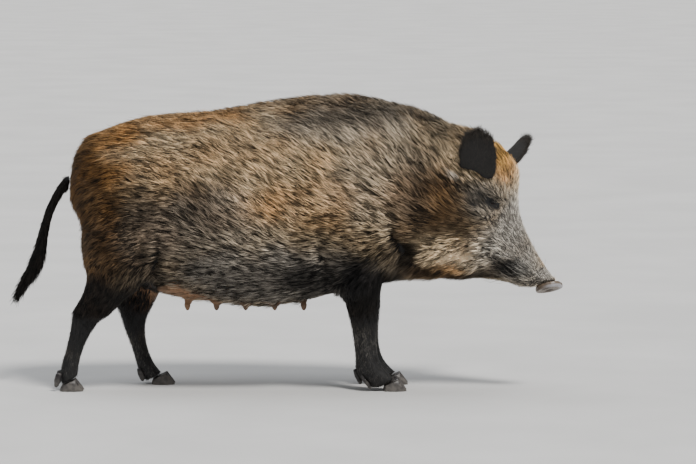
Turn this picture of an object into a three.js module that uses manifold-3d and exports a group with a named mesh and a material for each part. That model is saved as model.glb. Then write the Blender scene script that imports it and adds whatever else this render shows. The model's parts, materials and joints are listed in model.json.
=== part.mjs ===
// Wild boar sow, life size, in mid stride with the head lowered and turned a little to its right.
// Millimetres, +Z up, +X towards the snout, the animal's right side at -Y, the soles on Z = 0.
// The solids reach to the tips of the coat. The body from rump to muzzle is one loft and each limb
// another. They are joined into one form, then parted by thin cuts where one part ends.
import * as THREE from "three";
import { mergeVertices } from "three/addons/utils/BufferGeometryUtils.js";
import Module from "manifold-3d";

const wasm = await Module();
wasm.setup();

// Driving dimensions, with places given from a point on the ground under the middle of the back
const GAP = 0.35; // between touching pieces
const RIGHT = -1;
const LEFT = 1;
const RIB_HALF_WIDTH = 190;
const FORE_TRACK = 58; // from the midline to the middle of a fore foot
const HIND_TRACK = 60;
const EAR_HALF_WIDTH = 43;
const EYEBALL_RADIUS = 12;
const LID_OPENING = [15, 14, 8.5]; // half length, half depth and half height
const CLAW_LENGTH = 60;
const CLAW_WIDTH = 26;
const CLAW_HEIGHT = 34;
const CLAW_SPREAD = 3; // between the two claws of a foot
const CORONET_HEIGHT = 24; // of the plane where horn meets skin, over the middle of the foot
const CORONET_SLOPE = THREE.MathUtils.degToRad(27); // it drops towards the heel
const HEEL_HEIGHT = 4; // of the flesh behind the claws, over the ground
const DEWCLAW_SPREAD = 19; // from the middle of the foot
const DISC_HALF_WIDTH = 33; // of the bare snout disc
const DISC_HALF_HEIGHT = 32;
const DISC_THICKNESS = 13;
const NOSTRIL = [12, 6, 8.5]; // half depth, half width and half height
const NOSTRIL_PLACE = [14, -4]; // out from the middle of the disc, and up it
const TEAT_PAIRS = 5;
const TEAT_LENGTH = 17;
const FLANK_X = -316; // of the plane before the hams, at the height of the stifle
const TEAT_SPACING = 68;
const FIRST_TEAT = -262;

// The head's own frame: +X runs down the muzzle and +Z out of the forehead.
const HEAD_ORIGIN = [435, -24, 442];
const HEAD_PITCH = THREE.MathUtils.degToRad(48);
const HEAD_YAW = THREE.MathUtils.degToRad(-15);
const EYE = [23, 60, 24];
const MUZZLE_END = [244, 3, -17]; // where the middle of the disc meets the muzzle
const DISC_TILT = THREE.MathUtils.degToRad(26); // the disc faces towards the chin
const DISC_TURN = THREE.MathUtils.degToRad(-15); // and a little to the right, as in sniffing
const MOUTH_CORNER = [122, 0, -60];

const Z = new THREE.Vector3(0, 0, 1);

const boar = new THREE.Group();
const headFrame = new THREE.Group();
headFrame.position.set(...HEAD_ORIGIN);
headFrame.rotation.set(0, HEAD_PITCH, HEAD_YAW, "ZYX");
boar.add(headFrame);
boar.updateMatrixWorld();
const HEAD = headFrame.matrixWorld.clone();

const fromHead = (point) => new THREE.Vector3(...point).applyMatrix4(HEAD).toArray();
const onSide = ([x, y, z], side) => [x, side * y, z];

// Solids

function solid(geometry, place) {
  const bare = new THREE.BufferGeometry();
  bare.setAttribute("position", geometry.getAttribute("position"));
  bare.setIndex(geometry.getIndex());
  if (place) bare.applyMatrix4(place);
  const merged = mergeVertices(bare, 1e-3);
  return new wasm.Manifold(
    new wasm.Mesh({
      numProp: 3,
      vertProperties: new Float32Array(merged.attributes.position.array),
      triVerts: new Uint32Array(merged.index.array),
    }),
  );
}

function geometryOf(made) {
  const mesh = made.getMesh();
  const positions = new Float32Array(mesh.numVert * 3);
  for (let i = 0; i < mesh.numVert; i++) {
    const start = i * mesh.numProp;
    positions.set(mesh.vertProperties.subarray(start, start + 3), i * 3);
  }
  const geometry = new THREE.BufferGeometry();
  geometry.setAttribute("position", new THREE.BufferAttribute(positions, 3));
  geometry.setIndex(new THREE.BufferAttribute(new Uint32Array(mesh.triVerts), 1));
  geometry.computeVertexNormals();
  return geometry;
}

const joined = (solids) => solids.reduce((all, next) => all.add(next));

// One part of a superellipse: a plain ellipse at roundness 2, squarer above it.
const bent = (value, roundness) => Math.sign(value) * Math.abs(value) ** (2 / roundness);

function curveThrough(sections, keys, defaults) {
  return new THREE.CatmullRomCurve3(
    sections.map((s) => new THREE.Vector3(...keys.map((key, i) => s[key] ?? defaults[i]))));
}

// A closed body through a row of sections, each reaching from its `bottom` point to its `top`.
// `side` is the half width, found at the fraction `wide` of the way up. `box` squares the
// section, `ridge` narrows it upwards, `keel` narrows it downwards and `cup` bows it sideways.
// A capsule is bent onto the sections, so the ends are domes of the given lengths. Each swell
// { at, radius, push } moves the surface round a point outwards.
function loft(sections, { around = 20, rows = 12, caps = 2, domes = [0, 0], grow = 0, swells = [] }) {
  const tops = new THREE.CatmullRomCurve3(sections.map((s) => new THREE.Vector3(...s.top)));
  const bottoms = new THREE.CatmullRomCurve3(sections.map((s) => new THREE.Vector3(...s.bottom)));
  const sizes = curveThrough(sections, ["side", "wide", "cup"], [0, 0.5, 0]);
  const shapes = curveThrough(sections, ["box", "ridge", "keel"], [2.1, 0, 0]);
  const middle = (t) => bottoms.getPoint(t).lerp(tops.getPoint(t), sizes.getPoint(t).y);
  const geometry = new THREE.CapsuleGeometry(1, 2, caps, around, rows);
  const position = geometry.getAttribute("position");
  const point = new THREE.Vector3();
  const step = 0.002;
  for (let i = 0; i < position.count; i++) {
    point.fromBufferAttribute(position, i);
    const along = THREE.MathUtils.clamp(point.y, -1, 1);
    const past = point.y - along;
    const radius = Math.hypot(point.x, point.z);
    const angle = Math.atan2(point.x, point.z);
    const t = (along + 1) / 2;
    const centre = middle(t);
    const top = tops.getPoint(t);
    const bottom = bottoms.getPoint(t);
    const upwards = top.clone().sub(bottom).normalize();
    const ahead = middle(Math.min(t + step, 1)).sub(middle(Math.max(t - step, 0)));
    const sideways = new THREE.Vector3().crossVectors(ahead, upwards).normalize();
    const forwards = new THREE.Vector3().crossVectors(upwards, sideways);
    const { x: side, z: cup } = sizes.getPoint(t);
    const { x: box, y: ridge, z: keel } = shapes.getPoint(t);
    const rise = bent(Math.cos(angle), box);
    const spread = bent(Math.sin(angle), box);
    const narrowing = rise > 0 ? 1 - ridge * rise ** 1.5 : 1 - keel * (-rise) ** 1.5;
    const lift = (rise > 0 ? top : bottom).distanceTo(centre) + grow;
    const dome = past < 0 ? domes[0] : domes[1];
    const placed = centre.clone()
      .addScaledVector(forwards, past * (dome + grow))
      .addScaledVector(upwards, rise * lift * radius)
      .addScaledVector(sideways, (spread * (side * narrowing + grow) + cup * rise * rise) * radius);
    for (const { at, radius: reach, push } of swells) {
      const near = 1 - placed.distanceToSquared(new THREE.Vector3(...at)) / reach ** 2;
      if (near > 0) placed.addScaledVector(placed.clone().sub(centre).normalize(), push * near * near);
    }
    position.setXYZ(i, placed.x, placed.y, placed.z);
  }
  return solid(geometry);
}

function ellipsoid(centre, radii, { turn = [0, 0, 0], detail = 10, place } = {}) {
  const geometry = new THREE.SphereGeometry(1, detail, Math.ceil(detail * 0.7));
  const matrix = new THREE.Matrix4().compose(
    new THREE.Vector3(...centre),
    new THREE.Quaternion().setFromEuler(new THREE.Euler(...turn)),
    new THREE.Vector3(...radii),
  );
  return solid(geometry.applyMatrix4(matrix), place);
}

// All the space on the side of a plane that its normal points to, `clear` away from the plane.
function halfSpace([point, normal], clear, place) {
  const size = 3000;
  const geometry = new THREE.BoxGeometry(size, size, size);
  geometry.translate(0, 0, size / 2 + clear);
  const facing = new THREE.Vector3(...normal).normalize();
  geometry.applyQuaternion(new THREE.Quaternion().setFromUnitVectors(Z, facing));
  geometry.translate(...point);
  return solid(geometry, place);
}

// Parts what lies inside all the planes from the rest, with a gap between the two.
function partedBy(whole, planes, place) {
  const wedge = (clear) => planes
    .map((plane) => halfSpace(plane, clear, place))
    .reduce((all, next) => all.intersect(next));
  return [whole.intersect(wedge(GAP / 2)), whole.subtract(wedge(-GAP / 2))];
}

// Body: trunk, neck and head in one run, from the rump to the muzzle

function trunkSection(x, top, bottom, side, shape = {}) {
  const wide = (445 - bottom) / (top - bottom);
  return { top: [x, 0, top], bottom: [x, 0, bottom], side, wide, ...shape };
}

function neckSection(top, bottom, side, shape) {
  return { top, bottom, side, ...shape };
}

function headSection([topX, topZ], [bottomX, bottomZ], side, shape) {
  return { top: fromHead([topX, 0, topZ]), bottom: fromHead([bottomX, 0, bottomZ]), side, ...shape };
}

function makeBody(grow = 0) {
  const rib = RIB_HALF_WIDTH;
  const swells = [RIGHT, LEFT].flatMap((side) => [
    { at: fromHead([8, side * 56, 52]), radius: 38, push: 7 }, // brow
    { at: fromHead([20, side * 76, -30]), radius: 62, push: 8 }, // cheek
    { at: fromHead([66, side * 50, -4]), radius: 36, push: -5 }, // hollow before the eye
    { at: fromHead([150, side * 44, -34]), radius: 40, push: 3 }, // upper lip
  ]);
  return loft([
    trunkSection(-494, 603, 402, rib * 0.58, { ridge: 0.12 }),
    trunkSection(-440, 620, 304, rib * 0.74, { box: 2.2, ridge: 0.2 }),
    trunkSection(-380, 639, 241, rib * 0.84, { box: 2.25, ridge: 0.26 }),
    trunkSection(-300, 652, 211, rib * 0.92, { box: 2.3, ridge: 0.3 }),
    trunkSection(-200, 656, 197, rib * 0.98, { box: 2.3, ridge: 0.3 }),
    trunkSection(-80, 674, 190, rib, { box: 2.3, ridge: 0.32 }),
    trunkSection(30, 690, 207, rib * 0.96, { box: 2.25, ridge: 0.36 }),
    trunkSection(120, 693, 229, rib * 0.88, { box: 2.2, ridge: 0.4 }),
    trunkSection(205, 681, 243, rib * 0.79, { box: 2.15, ridge: 0.4 }),
    neckSection([300, -1, 654], [252, 0, 249], rib * 0.71, { ridge: 0.4 }),
    neckSection([385, -9, 621], [294, 0, 248], rib * 0.63, { ridge: 0.38 }),
    neckSection([450, -25, 597], [322, 0, 248], rib * 0.56, { wide: 0.48, ridge: 0.36, keel: 0.12 }),
    headSection([-32, 127], [80, -198], 98, { wide: 0.48, box: 2, ridge: 0.42, keel: 0.25 }),
    headSection([-2, 117], [94, -184], 93, { wide: 0.49, box: 2, ridge: 0.44, keel: 0.3 }),
    headSection([23, 92], [106, -171], 86, { wide: 0.5, box: 1.95, ridge: 0.46, keel: 0.35 }),
    headSection([62, 56], [123, -148], 74, { wide: 0.52, box: 2.1, ridge: 0.38, keel: 0.4 }),
    headSection([98, 36], [144, -124], 60, { wide: 0.55, box: 2.3, ridge: 0.3, keel: 0.42 }),
    headSection([136, 23], [167, -100], 50, { wide: 0.58, box: 2.5, ridge: 0.2, keel: 0.42 }),
    headSection([176, 14], [192, -83], 42, { wide: 0.58, box: 2.6, ridge: 0.1, keel: 0.4 }),
    headSection([218, 8], [216, -71], 36, { wide: 0.55, box: 2.6, ridge: 0.05, keel: 0.36 }),
    headSection([282, 3], [241, -58], 32, { wide: 0.5, box: 2.5, ridge: 0.04, keel: 0.3 }),
  ], { around: 22, rows: 36, caps: 3, domes: [52, 6], grow, swells });
}

function makeTeats() {
  const teats = [];
  for (let pair = 0; pair < TEAT_PAIRS; pair++) {
    const place = [FIRST_TEAT + pair * TEAT_SPACING, 62, 205];
    for (const side of [RIGHT, LEFT]) {
      teats.push(ellipsoid(onSide(place, side), [8, 8, TEAT_LENGTH], { detail: 6 }));
    }
  }
  return joined(teats);
}

// Limbs. Each section reaches from the back of the leg to its front, and the leg ends on the
// coronet plane of its foot.

const coronetNormal = [-Math.sin(CORONET_SLOPE), 0, Math.cos(CORONET_SLOPE)];

function makeLimb({ side, track, footX, outline, grow = 0 }) {
  const sections = outline.map(([frontX, frontZ, backX, backZ, inward, half]) => ({
    top: [frontX, side * (track + inward), frontZ],
    bottom: [backX, side * (track + inward), backZ],
    side: half,
  }));
  const limb = loft(sections, { around: 12, rows: 18, domes: [40, 8], grow });
  return limb
    .intersect(halfSpace([[footX, 0, CORONET_HEIGHT], coronetNormal], GAP / 2 - grow))
    .intersect(halfSpace([[footX, 0, HEEL_HEIGHT], Z.toArray()], -grow));
}

// Outlines from the hip or shoulder down: front x and z, back x and z, how far inside the foot's
// track the middle lies, and the half width.
const foreOutline = (shift) => [
  [196, 420, 50, 410, 34, 52],
  [206, 345, 52, 325, 33, 56],
  [205, 289, 76, 255, 27, 57],
  [196, 240, 101, 205, 16, 42],
  [189, 190, 113, 167, 8, 34],
  [185, 143, 120, 125, 3, 29],
  [185, 103, 125, 84, 1, 27],
  [190, 72, 127, 54, 0, 29],
  [203, 49, 134, 32, 0, 30],
  [229, 26, 158, 7, 0, 29],
  [244, 12, 174, -6, 0, 28],
].map(([frontX, frontZ, backX, ...rest]) => [frontX + shift, frontZ, backX + shift, ...rest]);

const legs = [
  {
    name: "foreleg_right", side: RIGHT, track: FORE_TRACK, footX: 222, outline: foreOutline(0),
    dewclaws: { outer: [[148, 40], [165, 8]], inner: [[132, 46], [142, 14]] },
  },
  {
    name: "foreleg_left", side: LEFT, track: FORE_TRACK, footX: 227, outline: foreOutline(5),
    dewclaws: { outer: [[139, 46], [150, 12]], inner: [[137, 46], [147, 14]] },
  },
  {
    name: "hindleg_right", side: RIGHT, track: HIND_TRACK, footX: -534,
    dewclaws: { outer: [[-562, 42], [-569, 12]], inner: [[-562, 44], [-567, 14]] },
    outline: [
      [-340, 430, -510, 425, 36, 44],
      [-332, 350, -520, 352, 40, 64],
      [-344, 266, -500, 302, 38, 60],
      [-394, 223, -503, 261, 28, 48],
      [-436, 183, -517, 221, 18, 37],
      [-466, 160, -533, 190, 12, 31],
      [-484, 134, -539, 155, 7, 28],
      [-499, 106, -548, 114, 3, 25],
      [-512, 68, -560, 66, 0, 27],
      [-516, 35, -565, 29, 0, 28],
      [-511, 8, -558, 4, 0, 27],
    ],
  },
  {
    name: "hindleg_left", side: LEFT, track: HIND_TRACK, footX: -326,
    dewclaws: { outer: [[-379, 36], [-372, 9]], inner: [[-380, 38], [-374, 10]] },
    outline: [
      [-325, 430, -505, 425, 36, 44],
      [-300, 350, -508, 350, 40, 64],
      [-298, 272, -470, 275, 38, 60],
      [-320, 224, -444, 215, 28, 48],
      [-344, 187, -435, 170, 18, 37],
      [-361, 156, -427, 145, 12, 31],
      [-365, 124, -414, 108, 7, 27],
      [-358, 84, -401, 76, 3, 25],
      [-350, 60, -392, 46, 0, 27],
      [-336, 37, -381, 20, 0, 28],
      [-312, 19, -364, 1, 0, 28],
      [-300, 8, -350, -10, 0, 27],
    ],
  },
];

// The planes that part a leg from the body: the midline, one that rises outwards from between
// the legs, and one across the flank or behind the elbow.
function legPlanes({ side, track }) {
  const midline = [[0, side, 0], [0, side, 0]];
  if (track === FORE_TRACK) {
    const elbow = [[58, 0, 330], [1, 0, -0.1]];
    return [midline, [[150, side * 30, 236], [0, side * 0.78, -0.62]], elbow];
  }
  const flank = [[FLANK_X, 0, 330], [-0.95, 0, -0.3]];
  return [midline, [[-420, side * 24, 262], [0, side * 0.8, -0.6]], flank];
}

// Feet, in a frame under the middle of the foot with the sole on Z = 0

function makeClaw() {
  const section = (x, height, width) => ({
    top: [x * CLAW_LENGTH, 0, height * CLAW_HEIGHT], bottom: [x * CLAW_LENGTH, 0, 0], wide: 0,
    side: (width * CLAW_WIDTH) / 2,
  });
  const claw = loft([
    section(-0.36, 0.8, 0.84), section(-0.1, 1.1, 1), section(0.16, 0.84, 0.96), section(0.4, 0.26, 0.52),
  ], { around: 10, rows: 3, caps: 1, domes: [CLAW_LENGTH * 0.1, CLAW_LENGTH * 0.1] });
  const hornSide = coronetNormal.map((value) => -value);
  return claw.intersect(halfSpace([[0, 0, CORONET_HEIGHT], hornSide], GAP / 2));
}

// A dewclaw hangs behind the fetlock, clear of the ground, from its root to its tip.
function makeDewclaw([rootX, rootZ], [tipX, tipZ], y) {
  const section = (t, radius) => {
    const x = THREE.MathUtils.lerp(rootX, tipX, t);
    const z = THREE.MathUtils.lerp(rootZ, tipZ, t);
    return { top: [x + radius, y, z], bottom: [x - radius, y, z], side: radius * 0.9 };
  };
  return loft([section(0, 8), section(0.5, 9), section(1, 5)],
    { around: 8, rows: 2, caps: 1, domes: [3, 4] });
}

// Tail

function tailSection(x, z, radius) {
  return { top: [x + radius, 0, z], bottom: [x - radius, 0, z], side: radius };
}

function makeTail() {
  return loft([
    tailSection(-528, 500, 17), tailSection(-552, 478, 13), tailSection(-572, 448, 11),
    tailSection(-588, 414, 10), tailSection(-598, 380, 10), tailSection(-606, 343, 11),
    tailSection(-614, 310, 13), tailSection(-628, 280, 13), tailSection(-645, 252, 9),
    tailSection(-657, 230, 4),
  ], { around: 8, rows: 18, caps: 1, domes: [8, 6] });
}

// Head pieces

// The right ear lies back a little and the left one is pricked.
const ears = [
  { name: "ear_right", side: RIGHT, base: [-42, 62, 34], tip: [-126, 88, 117], across: [0.7, -0.1, 0.7] },
  { name: "ear_left", side: LEFT, base: [-44, 62, 58], tip: [-56, 108, 153], across: [0.42, -0.85, 0.35] },
];

// A leaf bowed along its length, its hollow side outwards.
function makeEar({ side, base, tip, across }) {
  const from = new THREE.Vector3(...onSide(base, side));
  const to = new THREE.Vector3(...onSide(tip, side));
  const edge = new THREE.Vector3(...onSide(across, side)).normalize();
  const section = (t, width, thickness, cup) => {
    const middle = from.clone().lerp(to, t);
    const point = (reach) => fromHead(middle.clone().addScaledVector(edge, reach).toArray());
    const half = width * EAR_HALF_WIDTH;
    return { top: point(half), bottom: point(-half), side: thickness, cup: side * cup, box: 2 };
  };
  const leaf = loft([
    section(-0.12, 0.5, 16, 0), section(0.12, 0.82, 11, 6), section(0.4, 1, 8, 12),
    section(0.68, 0.86, 6.5, 10), section(0.9, 0.42, 5, 4),
  ], { around: 12, rows: 7, caps: 1, domes: [8, 14] });
  return leaf.subtract(makeBody(GAP));
}

function makeEyeball(side, grow = 0) {
  const radius = EYEBALL_RADIUS + grow;
  return ellipsoid(onSide(EYE, side), [radius, radius, radius], { place: HEAD });
}

function makeLidOpening(side) {
  const [x, y, z] = onSide(EYE, side);
  return ellipsoid([x + 1, y + side * EYEBALL_RADIUS, z + 1], LID_OPENING,
    { turn: [0, 0.25, 0], detail: 8, place: HEAD });
}

const discTurn = new THREE.Euler(0, DISC_TILT, DISC_TURN);
const discAxis = new THREE.Vector3(1, 0, 0).applyEuler(discTurn);
const discAcross = new THREE.Vector3(0, 1, 0).applyEuler(discTurn);
const discRise = new THREE.Vector3(0, 0, 1).applyEuler(discTurn);
const muzzlePlane = [MUZZLE_END, discAxis.toArray()];

// A point of the disc: ahead of the muzzle's end, to the left and up.
function onDisc(ahead, left, up) {
  return new THREE.Vector3(...MUZZLE_END)
    .addScaledVector(discAxis, ahead)
    .addScaledVector(discAcross, left)
    .addScaledVector(discRise, up)
    .toArray();
}

function makeDisc() {
  const section = (ahead, size) => {
    const half = DISC_HALF_HEIGHT * size;
    return {
      top: fromHead(onDisc(ahead, 0, half)), bottom: fromHead(onDisc(ahead, 0, -half)),
      side: DISC_HALF_WIDTH * size, wide: 0.56, box: 2.3, keel: 0.2,
    };
  };
  const plate = loft([
    section(-6, 0.88), section(DISC_THICKNESS * 0.5, 1), section(DISC_THICKNESS - 3, 0.95),
  ], { around: 18, rows: 3, caps: 1, domes: [3, 3] });
  const [out, up] = NOSTRIL_PLACE;
  const nostrils = [RIGHT, LEFT].map((side) => ellipsoid(
    onDisc(DISC_THICKNESS, side * out, up), NOSTRIL,
    { turn: discTurn.toArray(), detail: 8, place: HEAD }));
  return plate.subtract(joined(nostrils)).intersect(halfSpace(muzzlePlane, GAP / 2, HEAD));
}

// Joining and parting

const sockets = [RIGHT, LEFT].flatMap((side) => [makeEyeball(side, GAP), makeLidOpening(side)]);
const whole = joined([makeBody(), makeTeats(), ...legs.map(makeLimb)]).subtract(joined(sockets));

const [headAndJaw, headless] = partedBy(whole, [[[383, -4, 625], [0.96, -0.26, -0.1]]]);
const [, blunt] = partedBy(headAndJaw, [muzzlePlane], HEAD);
const [lowerJaw, head] = partedBy(
  blunt, [[MOUTH_CORNER, [0.07, 0, -1]], [MOUTH_CORNER, [1, 0, 0.2]]], HEAD);

const [neck, body] = partedBy(headless, [[[168, 0, 688], [0.978, 0, 0.208]]]);
let trunk = body;
const limbs = legs.map((leg) => {
  const [limb, rest] = partedBy(trunk, legPlanes(leg));
  trunk = rest;
  return limb;
});
const [tailTuft, tailDock] = partedBy(
  makeTail().subtract(makeBody(GAP)), [[[-608, 0, 335], [-0.3, 0, -1]]]);

// Scene

const bristles = new THREE.MeshStandardMaterial({ color: 0x6b5138, roughness: 0.85, metalness: 0 });
const darkHair = new THREE.MeshStandardMaterial({ color: 0x1e1c1c, roughness: 0.85, metalness: 0 });
const faceHair = new THREE.MeshStandardMaterial({ color: 0x6f665a, roughness: 0.85, metalness: 0 });
const bareSkin = new THREE.MeshStandardMaterial({ color: 0x8b8380, roughness: 0.5, metalness: 0 });
const eyeGloss = new THREE.MeshStandardMaterial({ color: 0x20130c, roughness: 0.1, metalness: 0 });
const hoofHorn = new THREE.MeshStandardMaterial({ color: 0x2a2522, roughness: 0.55, metalness: 0 });

// Adds a solid made in the boar's frame to a group, in that group's own frame.
function addPiece(group, name, made, material) {
  const toGroup = group.matrixWorld.clone().invert();
  const mesh = new THREE.Mesh(geometryOf(made).applyMatrix4(toGroup), material);
  mesh.name = name;
  group.add(mesh);
}

addPiece(boar, "trunk", trunk, bristles);
addPiece(boar, "neck", neck, bristles);
addPiece(headFrame, "head", head, faceHair);
addPiece(headFrame, "lower_jaw", lowerJaw, faceHair);
addPiece(headFrame, "snout_disc", makeDisc(), bareSkin);
for (const ear of ears) addPiece(headFrame, ear.name, makeEar(ear), darkHair);
for (const [side, word] of [[RIGHT, "right"], [LEFT, "left"]]) {
  addPiece(headFrame, `eye_${word}`, makeEyeball(side), eyeGloss);
}
addPiece(boar, "tail_dock", tailDock, darkHair);
addPiece(boar, "tail_tuft", tailTuft, darkHair);
legs.forEach((leg, i) => addPiece(boar, leg.name, limbs[i], darkHair));

const claw = geometryOf(makeClaw());
for (const leg of legs) {
  const foot = new THREE.Group();
  foot.position.set(leg.footX, leg.side * leg.track, 0);
  boar.add(foot);
  for (const [place, word] of [[leg.side, "outer"], [-leg.side, "inner"]]) {
    const mesh = new THREE.Mesh(claw, hoofHorn);
    mesh.name = `${leg.name}_claw_${word}`;
    mesh.position.y = (place * (CLAW_WIDTH + CLAW_SPREAD)) / 2;
    foot.add(mesh);
  }
  foot.updateMatrixWorld();
  const flesh = makeLimb({ ...leg, grow: GAP });
  for (const [place, word] of [[leg.side, "outer"], [-leg.side, "inner"]]) {
    const [root, tip] = leg.dewclaws[word];
    const y = leg.side * leg.track + place * DEWCLAW_SPREAD;
    addPiece(foot, `${leg.name}_dewclaw_${word}`, makeDewclaw(root, tip, y).subtract(flesh), hoofHorn);
  }
}

// The origin goes to the middle of the box that holds the animal, on the ground.
const middle = new THREE.Box3().setFromObject(boar, true).getCenter(new THREE.Vector3());
boar.position.set(-middle.x, -middle.y, 0);

export default boar;
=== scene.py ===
# %% [markdown]
# # A wild boar sow
# This lesson dresses the plain solids of a boar as the living animal. The solids fix the size, the pose
# and the outline. One skin is drawn over them a coat's depth inside, and tufts of bristle fill that
# depth again. Everything is in metres: +X runs to the snout, +Z is up, and the right side is at -Y.

# %% Loading the frame
import json
import math

import bpy
import numpy as np
from mathutils import Euler, Matrix, Vector, kdtree, noise

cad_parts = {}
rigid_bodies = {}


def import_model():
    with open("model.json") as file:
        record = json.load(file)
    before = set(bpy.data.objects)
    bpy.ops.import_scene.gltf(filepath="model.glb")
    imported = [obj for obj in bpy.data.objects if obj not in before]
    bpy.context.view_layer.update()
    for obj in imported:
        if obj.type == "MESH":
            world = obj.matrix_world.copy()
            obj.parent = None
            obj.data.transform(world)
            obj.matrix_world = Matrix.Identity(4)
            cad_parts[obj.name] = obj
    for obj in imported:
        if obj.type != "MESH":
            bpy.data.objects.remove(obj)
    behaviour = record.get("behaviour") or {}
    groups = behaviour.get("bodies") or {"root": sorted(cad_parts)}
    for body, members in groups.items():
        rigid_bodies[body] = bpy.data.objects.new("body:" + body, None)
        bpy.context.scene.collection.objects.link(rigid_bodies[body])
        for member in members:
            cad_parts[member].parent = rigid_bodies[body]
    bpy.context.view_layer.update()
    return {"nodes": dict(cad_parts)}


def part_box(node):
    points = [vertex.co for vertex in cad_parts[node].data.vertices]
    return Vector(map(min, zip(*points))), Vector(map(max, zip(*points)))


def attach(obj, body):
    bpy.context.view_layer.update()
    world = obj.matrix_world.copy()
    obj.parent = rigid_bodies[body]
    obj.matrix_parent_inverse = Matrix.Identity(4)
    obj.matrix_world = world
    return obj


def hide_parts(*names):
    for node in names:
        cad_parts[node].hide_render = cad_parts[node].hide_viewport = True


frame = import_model()
RIGHT, LEFT = -1, 1
SIDES = (("right", RIGHT), ("left", LEFT))
LEGS = ("foreleg_right", "foreleg_left", "hindleg_right", "hindleg_left")

# %% [markdown]
# ## Places on the body
# The head is turned and lowered, so its pieces are easier to place in a frame of its own, whose X runs
# down the muzzle and whose Z comes out of the forehead. The two eyeballs of the frame say where that
# frame lies, and every other place on the head is measured from it.

# %% The head's own frame
HEAD_YAW = math.radians(-15)
HEAD_TURN = Euler((0, math.radians(48), HEAD_YAW)).to_matrix()
EYE = Vector((0.023, 0.060, 0.024))  # the left eyeball's middle, in the head's frame
EYEBALL_RADIUS = 0.012


def middle_of(node):
    low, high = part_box(node)
    return (low + high) / 2


HEAD_ORIGIN = (middle_of("eye_right") + middle_of("eye_left")) / 2 - HEAD_TURN @ Vector((EYE.x, 0, EYE.z))


def on_head(x, y, z):
    """A place in the head's frame, given in the boar's."""
    return HEAD_ORIGIN + HEAD_TURN @ Vector((x, y, z))


def to_head(points):
    """Rows of places in the boar's frame, given in the head's."""
    return (points - np.array(HEAD_ORIGIN)) @ np.array(HEAD_TURN)


def to_boar(local):
    """Rows of places in the head's frame, given in the boar's."""
    return local @ np.array(HEAD_TURN).T + np.array(HEAD_ORIGIN)


print("head's frame starts at", [round(value, 4) for value in HEAD_ORIGIN])

# %% [markdown]
# ## Camera, floor and light
# The animal fills the view from the side, from a little above. The camera stands well back and has a
# long lens, so the near and the far legs keep nearly the same scale. From close by, a wide lens would
# swell the ribs and shrink the feet. The floor is plain and pale, and wide soft lamps stand where an
# open sky would light an animal under trees: mostly from above, a little from behind.

# %% Camera
CAMERA_DISTANCE = 8.5
CAMERA_RISE = math.radians(5.5)
CAMERA_TARGET = Vector((0.1361, 0, 0.367))
CAMERA_LENS = 187.1

back = Vector((0, -math.cos(CAMERA_RISE), math.sin(CAMERA_RISE)))
bpy.ops.object.camera_add(
    location=CAMERA_TARGET + back * CAMERA_DISTANCE,
    rotation=(math.pi / 2 - CAMERA_RISE, 0, 0))
camera = bpy.context.object
camera.name = "camera"
camera.data.lens = CAMERA_LENS
camera.data.clip_end = 100
bpy.context.scene.camera = camera
print("camera stands at", [round(value, 2) for value in camera.location])


# %% Lamps and surroundings
def sun(name, place, strength, softness, colour):
    """A distant lamp that shines from a place towards the floor under the animal."""
    bpy.ops.object.light_add(
        type="SUN", location=place, rotation=(-Vector(place)).to_track_quat("-Z", "Y").to_euler())
    made = bpy.context.object
    made.name = name
    made.data.energy = strength
    made.data.angle = math.radians(softness)
    made.data.color = colour


sun("key_lamp", (1.5, -2.0, 3.6), 3.6, 14, (1.0, 0.97, 0.92))
sun("top_lamp", (-0.8, 0.8, 3.6), 1.5, 50, (0.96, 0.98, 1.0))

SKY_COLOUR, SKY_STRENGTH = (0.82, 0.84, 0.86, 1), 0.40
world = bpy.data.worlds.new("studio")
bpy.context.scene.world = world
world.use_nodes = True
sky = world.node_tree.nodes["Background"]
sky.inputs["Color"].default_value = SKY_COLOUR
sky.inputs["Strength"].default_value = SKY_STRENGTH

# %% [markdown]
# ## A short way to write a material
# A material is a net of nodes. Written out one by one they hide the idea, so a small class stands for
# a node's output and lets it be added, multiplied and mixed as a number is. One method makes any node.

# %% Writing materials as sums
SHARE, FIRST_COLOUR, SECOND_COLOUR, COLOUR_OUT = 0, 6, 7, 2  # a Mix node's sockets when it mixes colours


class Wire:
    """A node's output."""

    def __init__(self, paint, socket):
        self.paint, self.socket = paint, socket

    def _math(self, operation, first, second):
        return self.paint.node("ShaderNodeMath", {"operation": operation}, {0: first, 1: second})

    def __add__(self, other):
        return self._math("ADD", self, other)

    def __sub__(self, other):
        return self._math("SUBTRACT", self, other)

    def __rsub__(self, other):
        return self._math("SUBTRACT", other, self)

    def __mul__(self, other):
        return self._math("MULTIPLY", self, other)

    def __pow__(self, other):
        return self._math("POWER", self, other)

    __radd__ = __add__
    __rmul__ = __mul__


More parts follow.
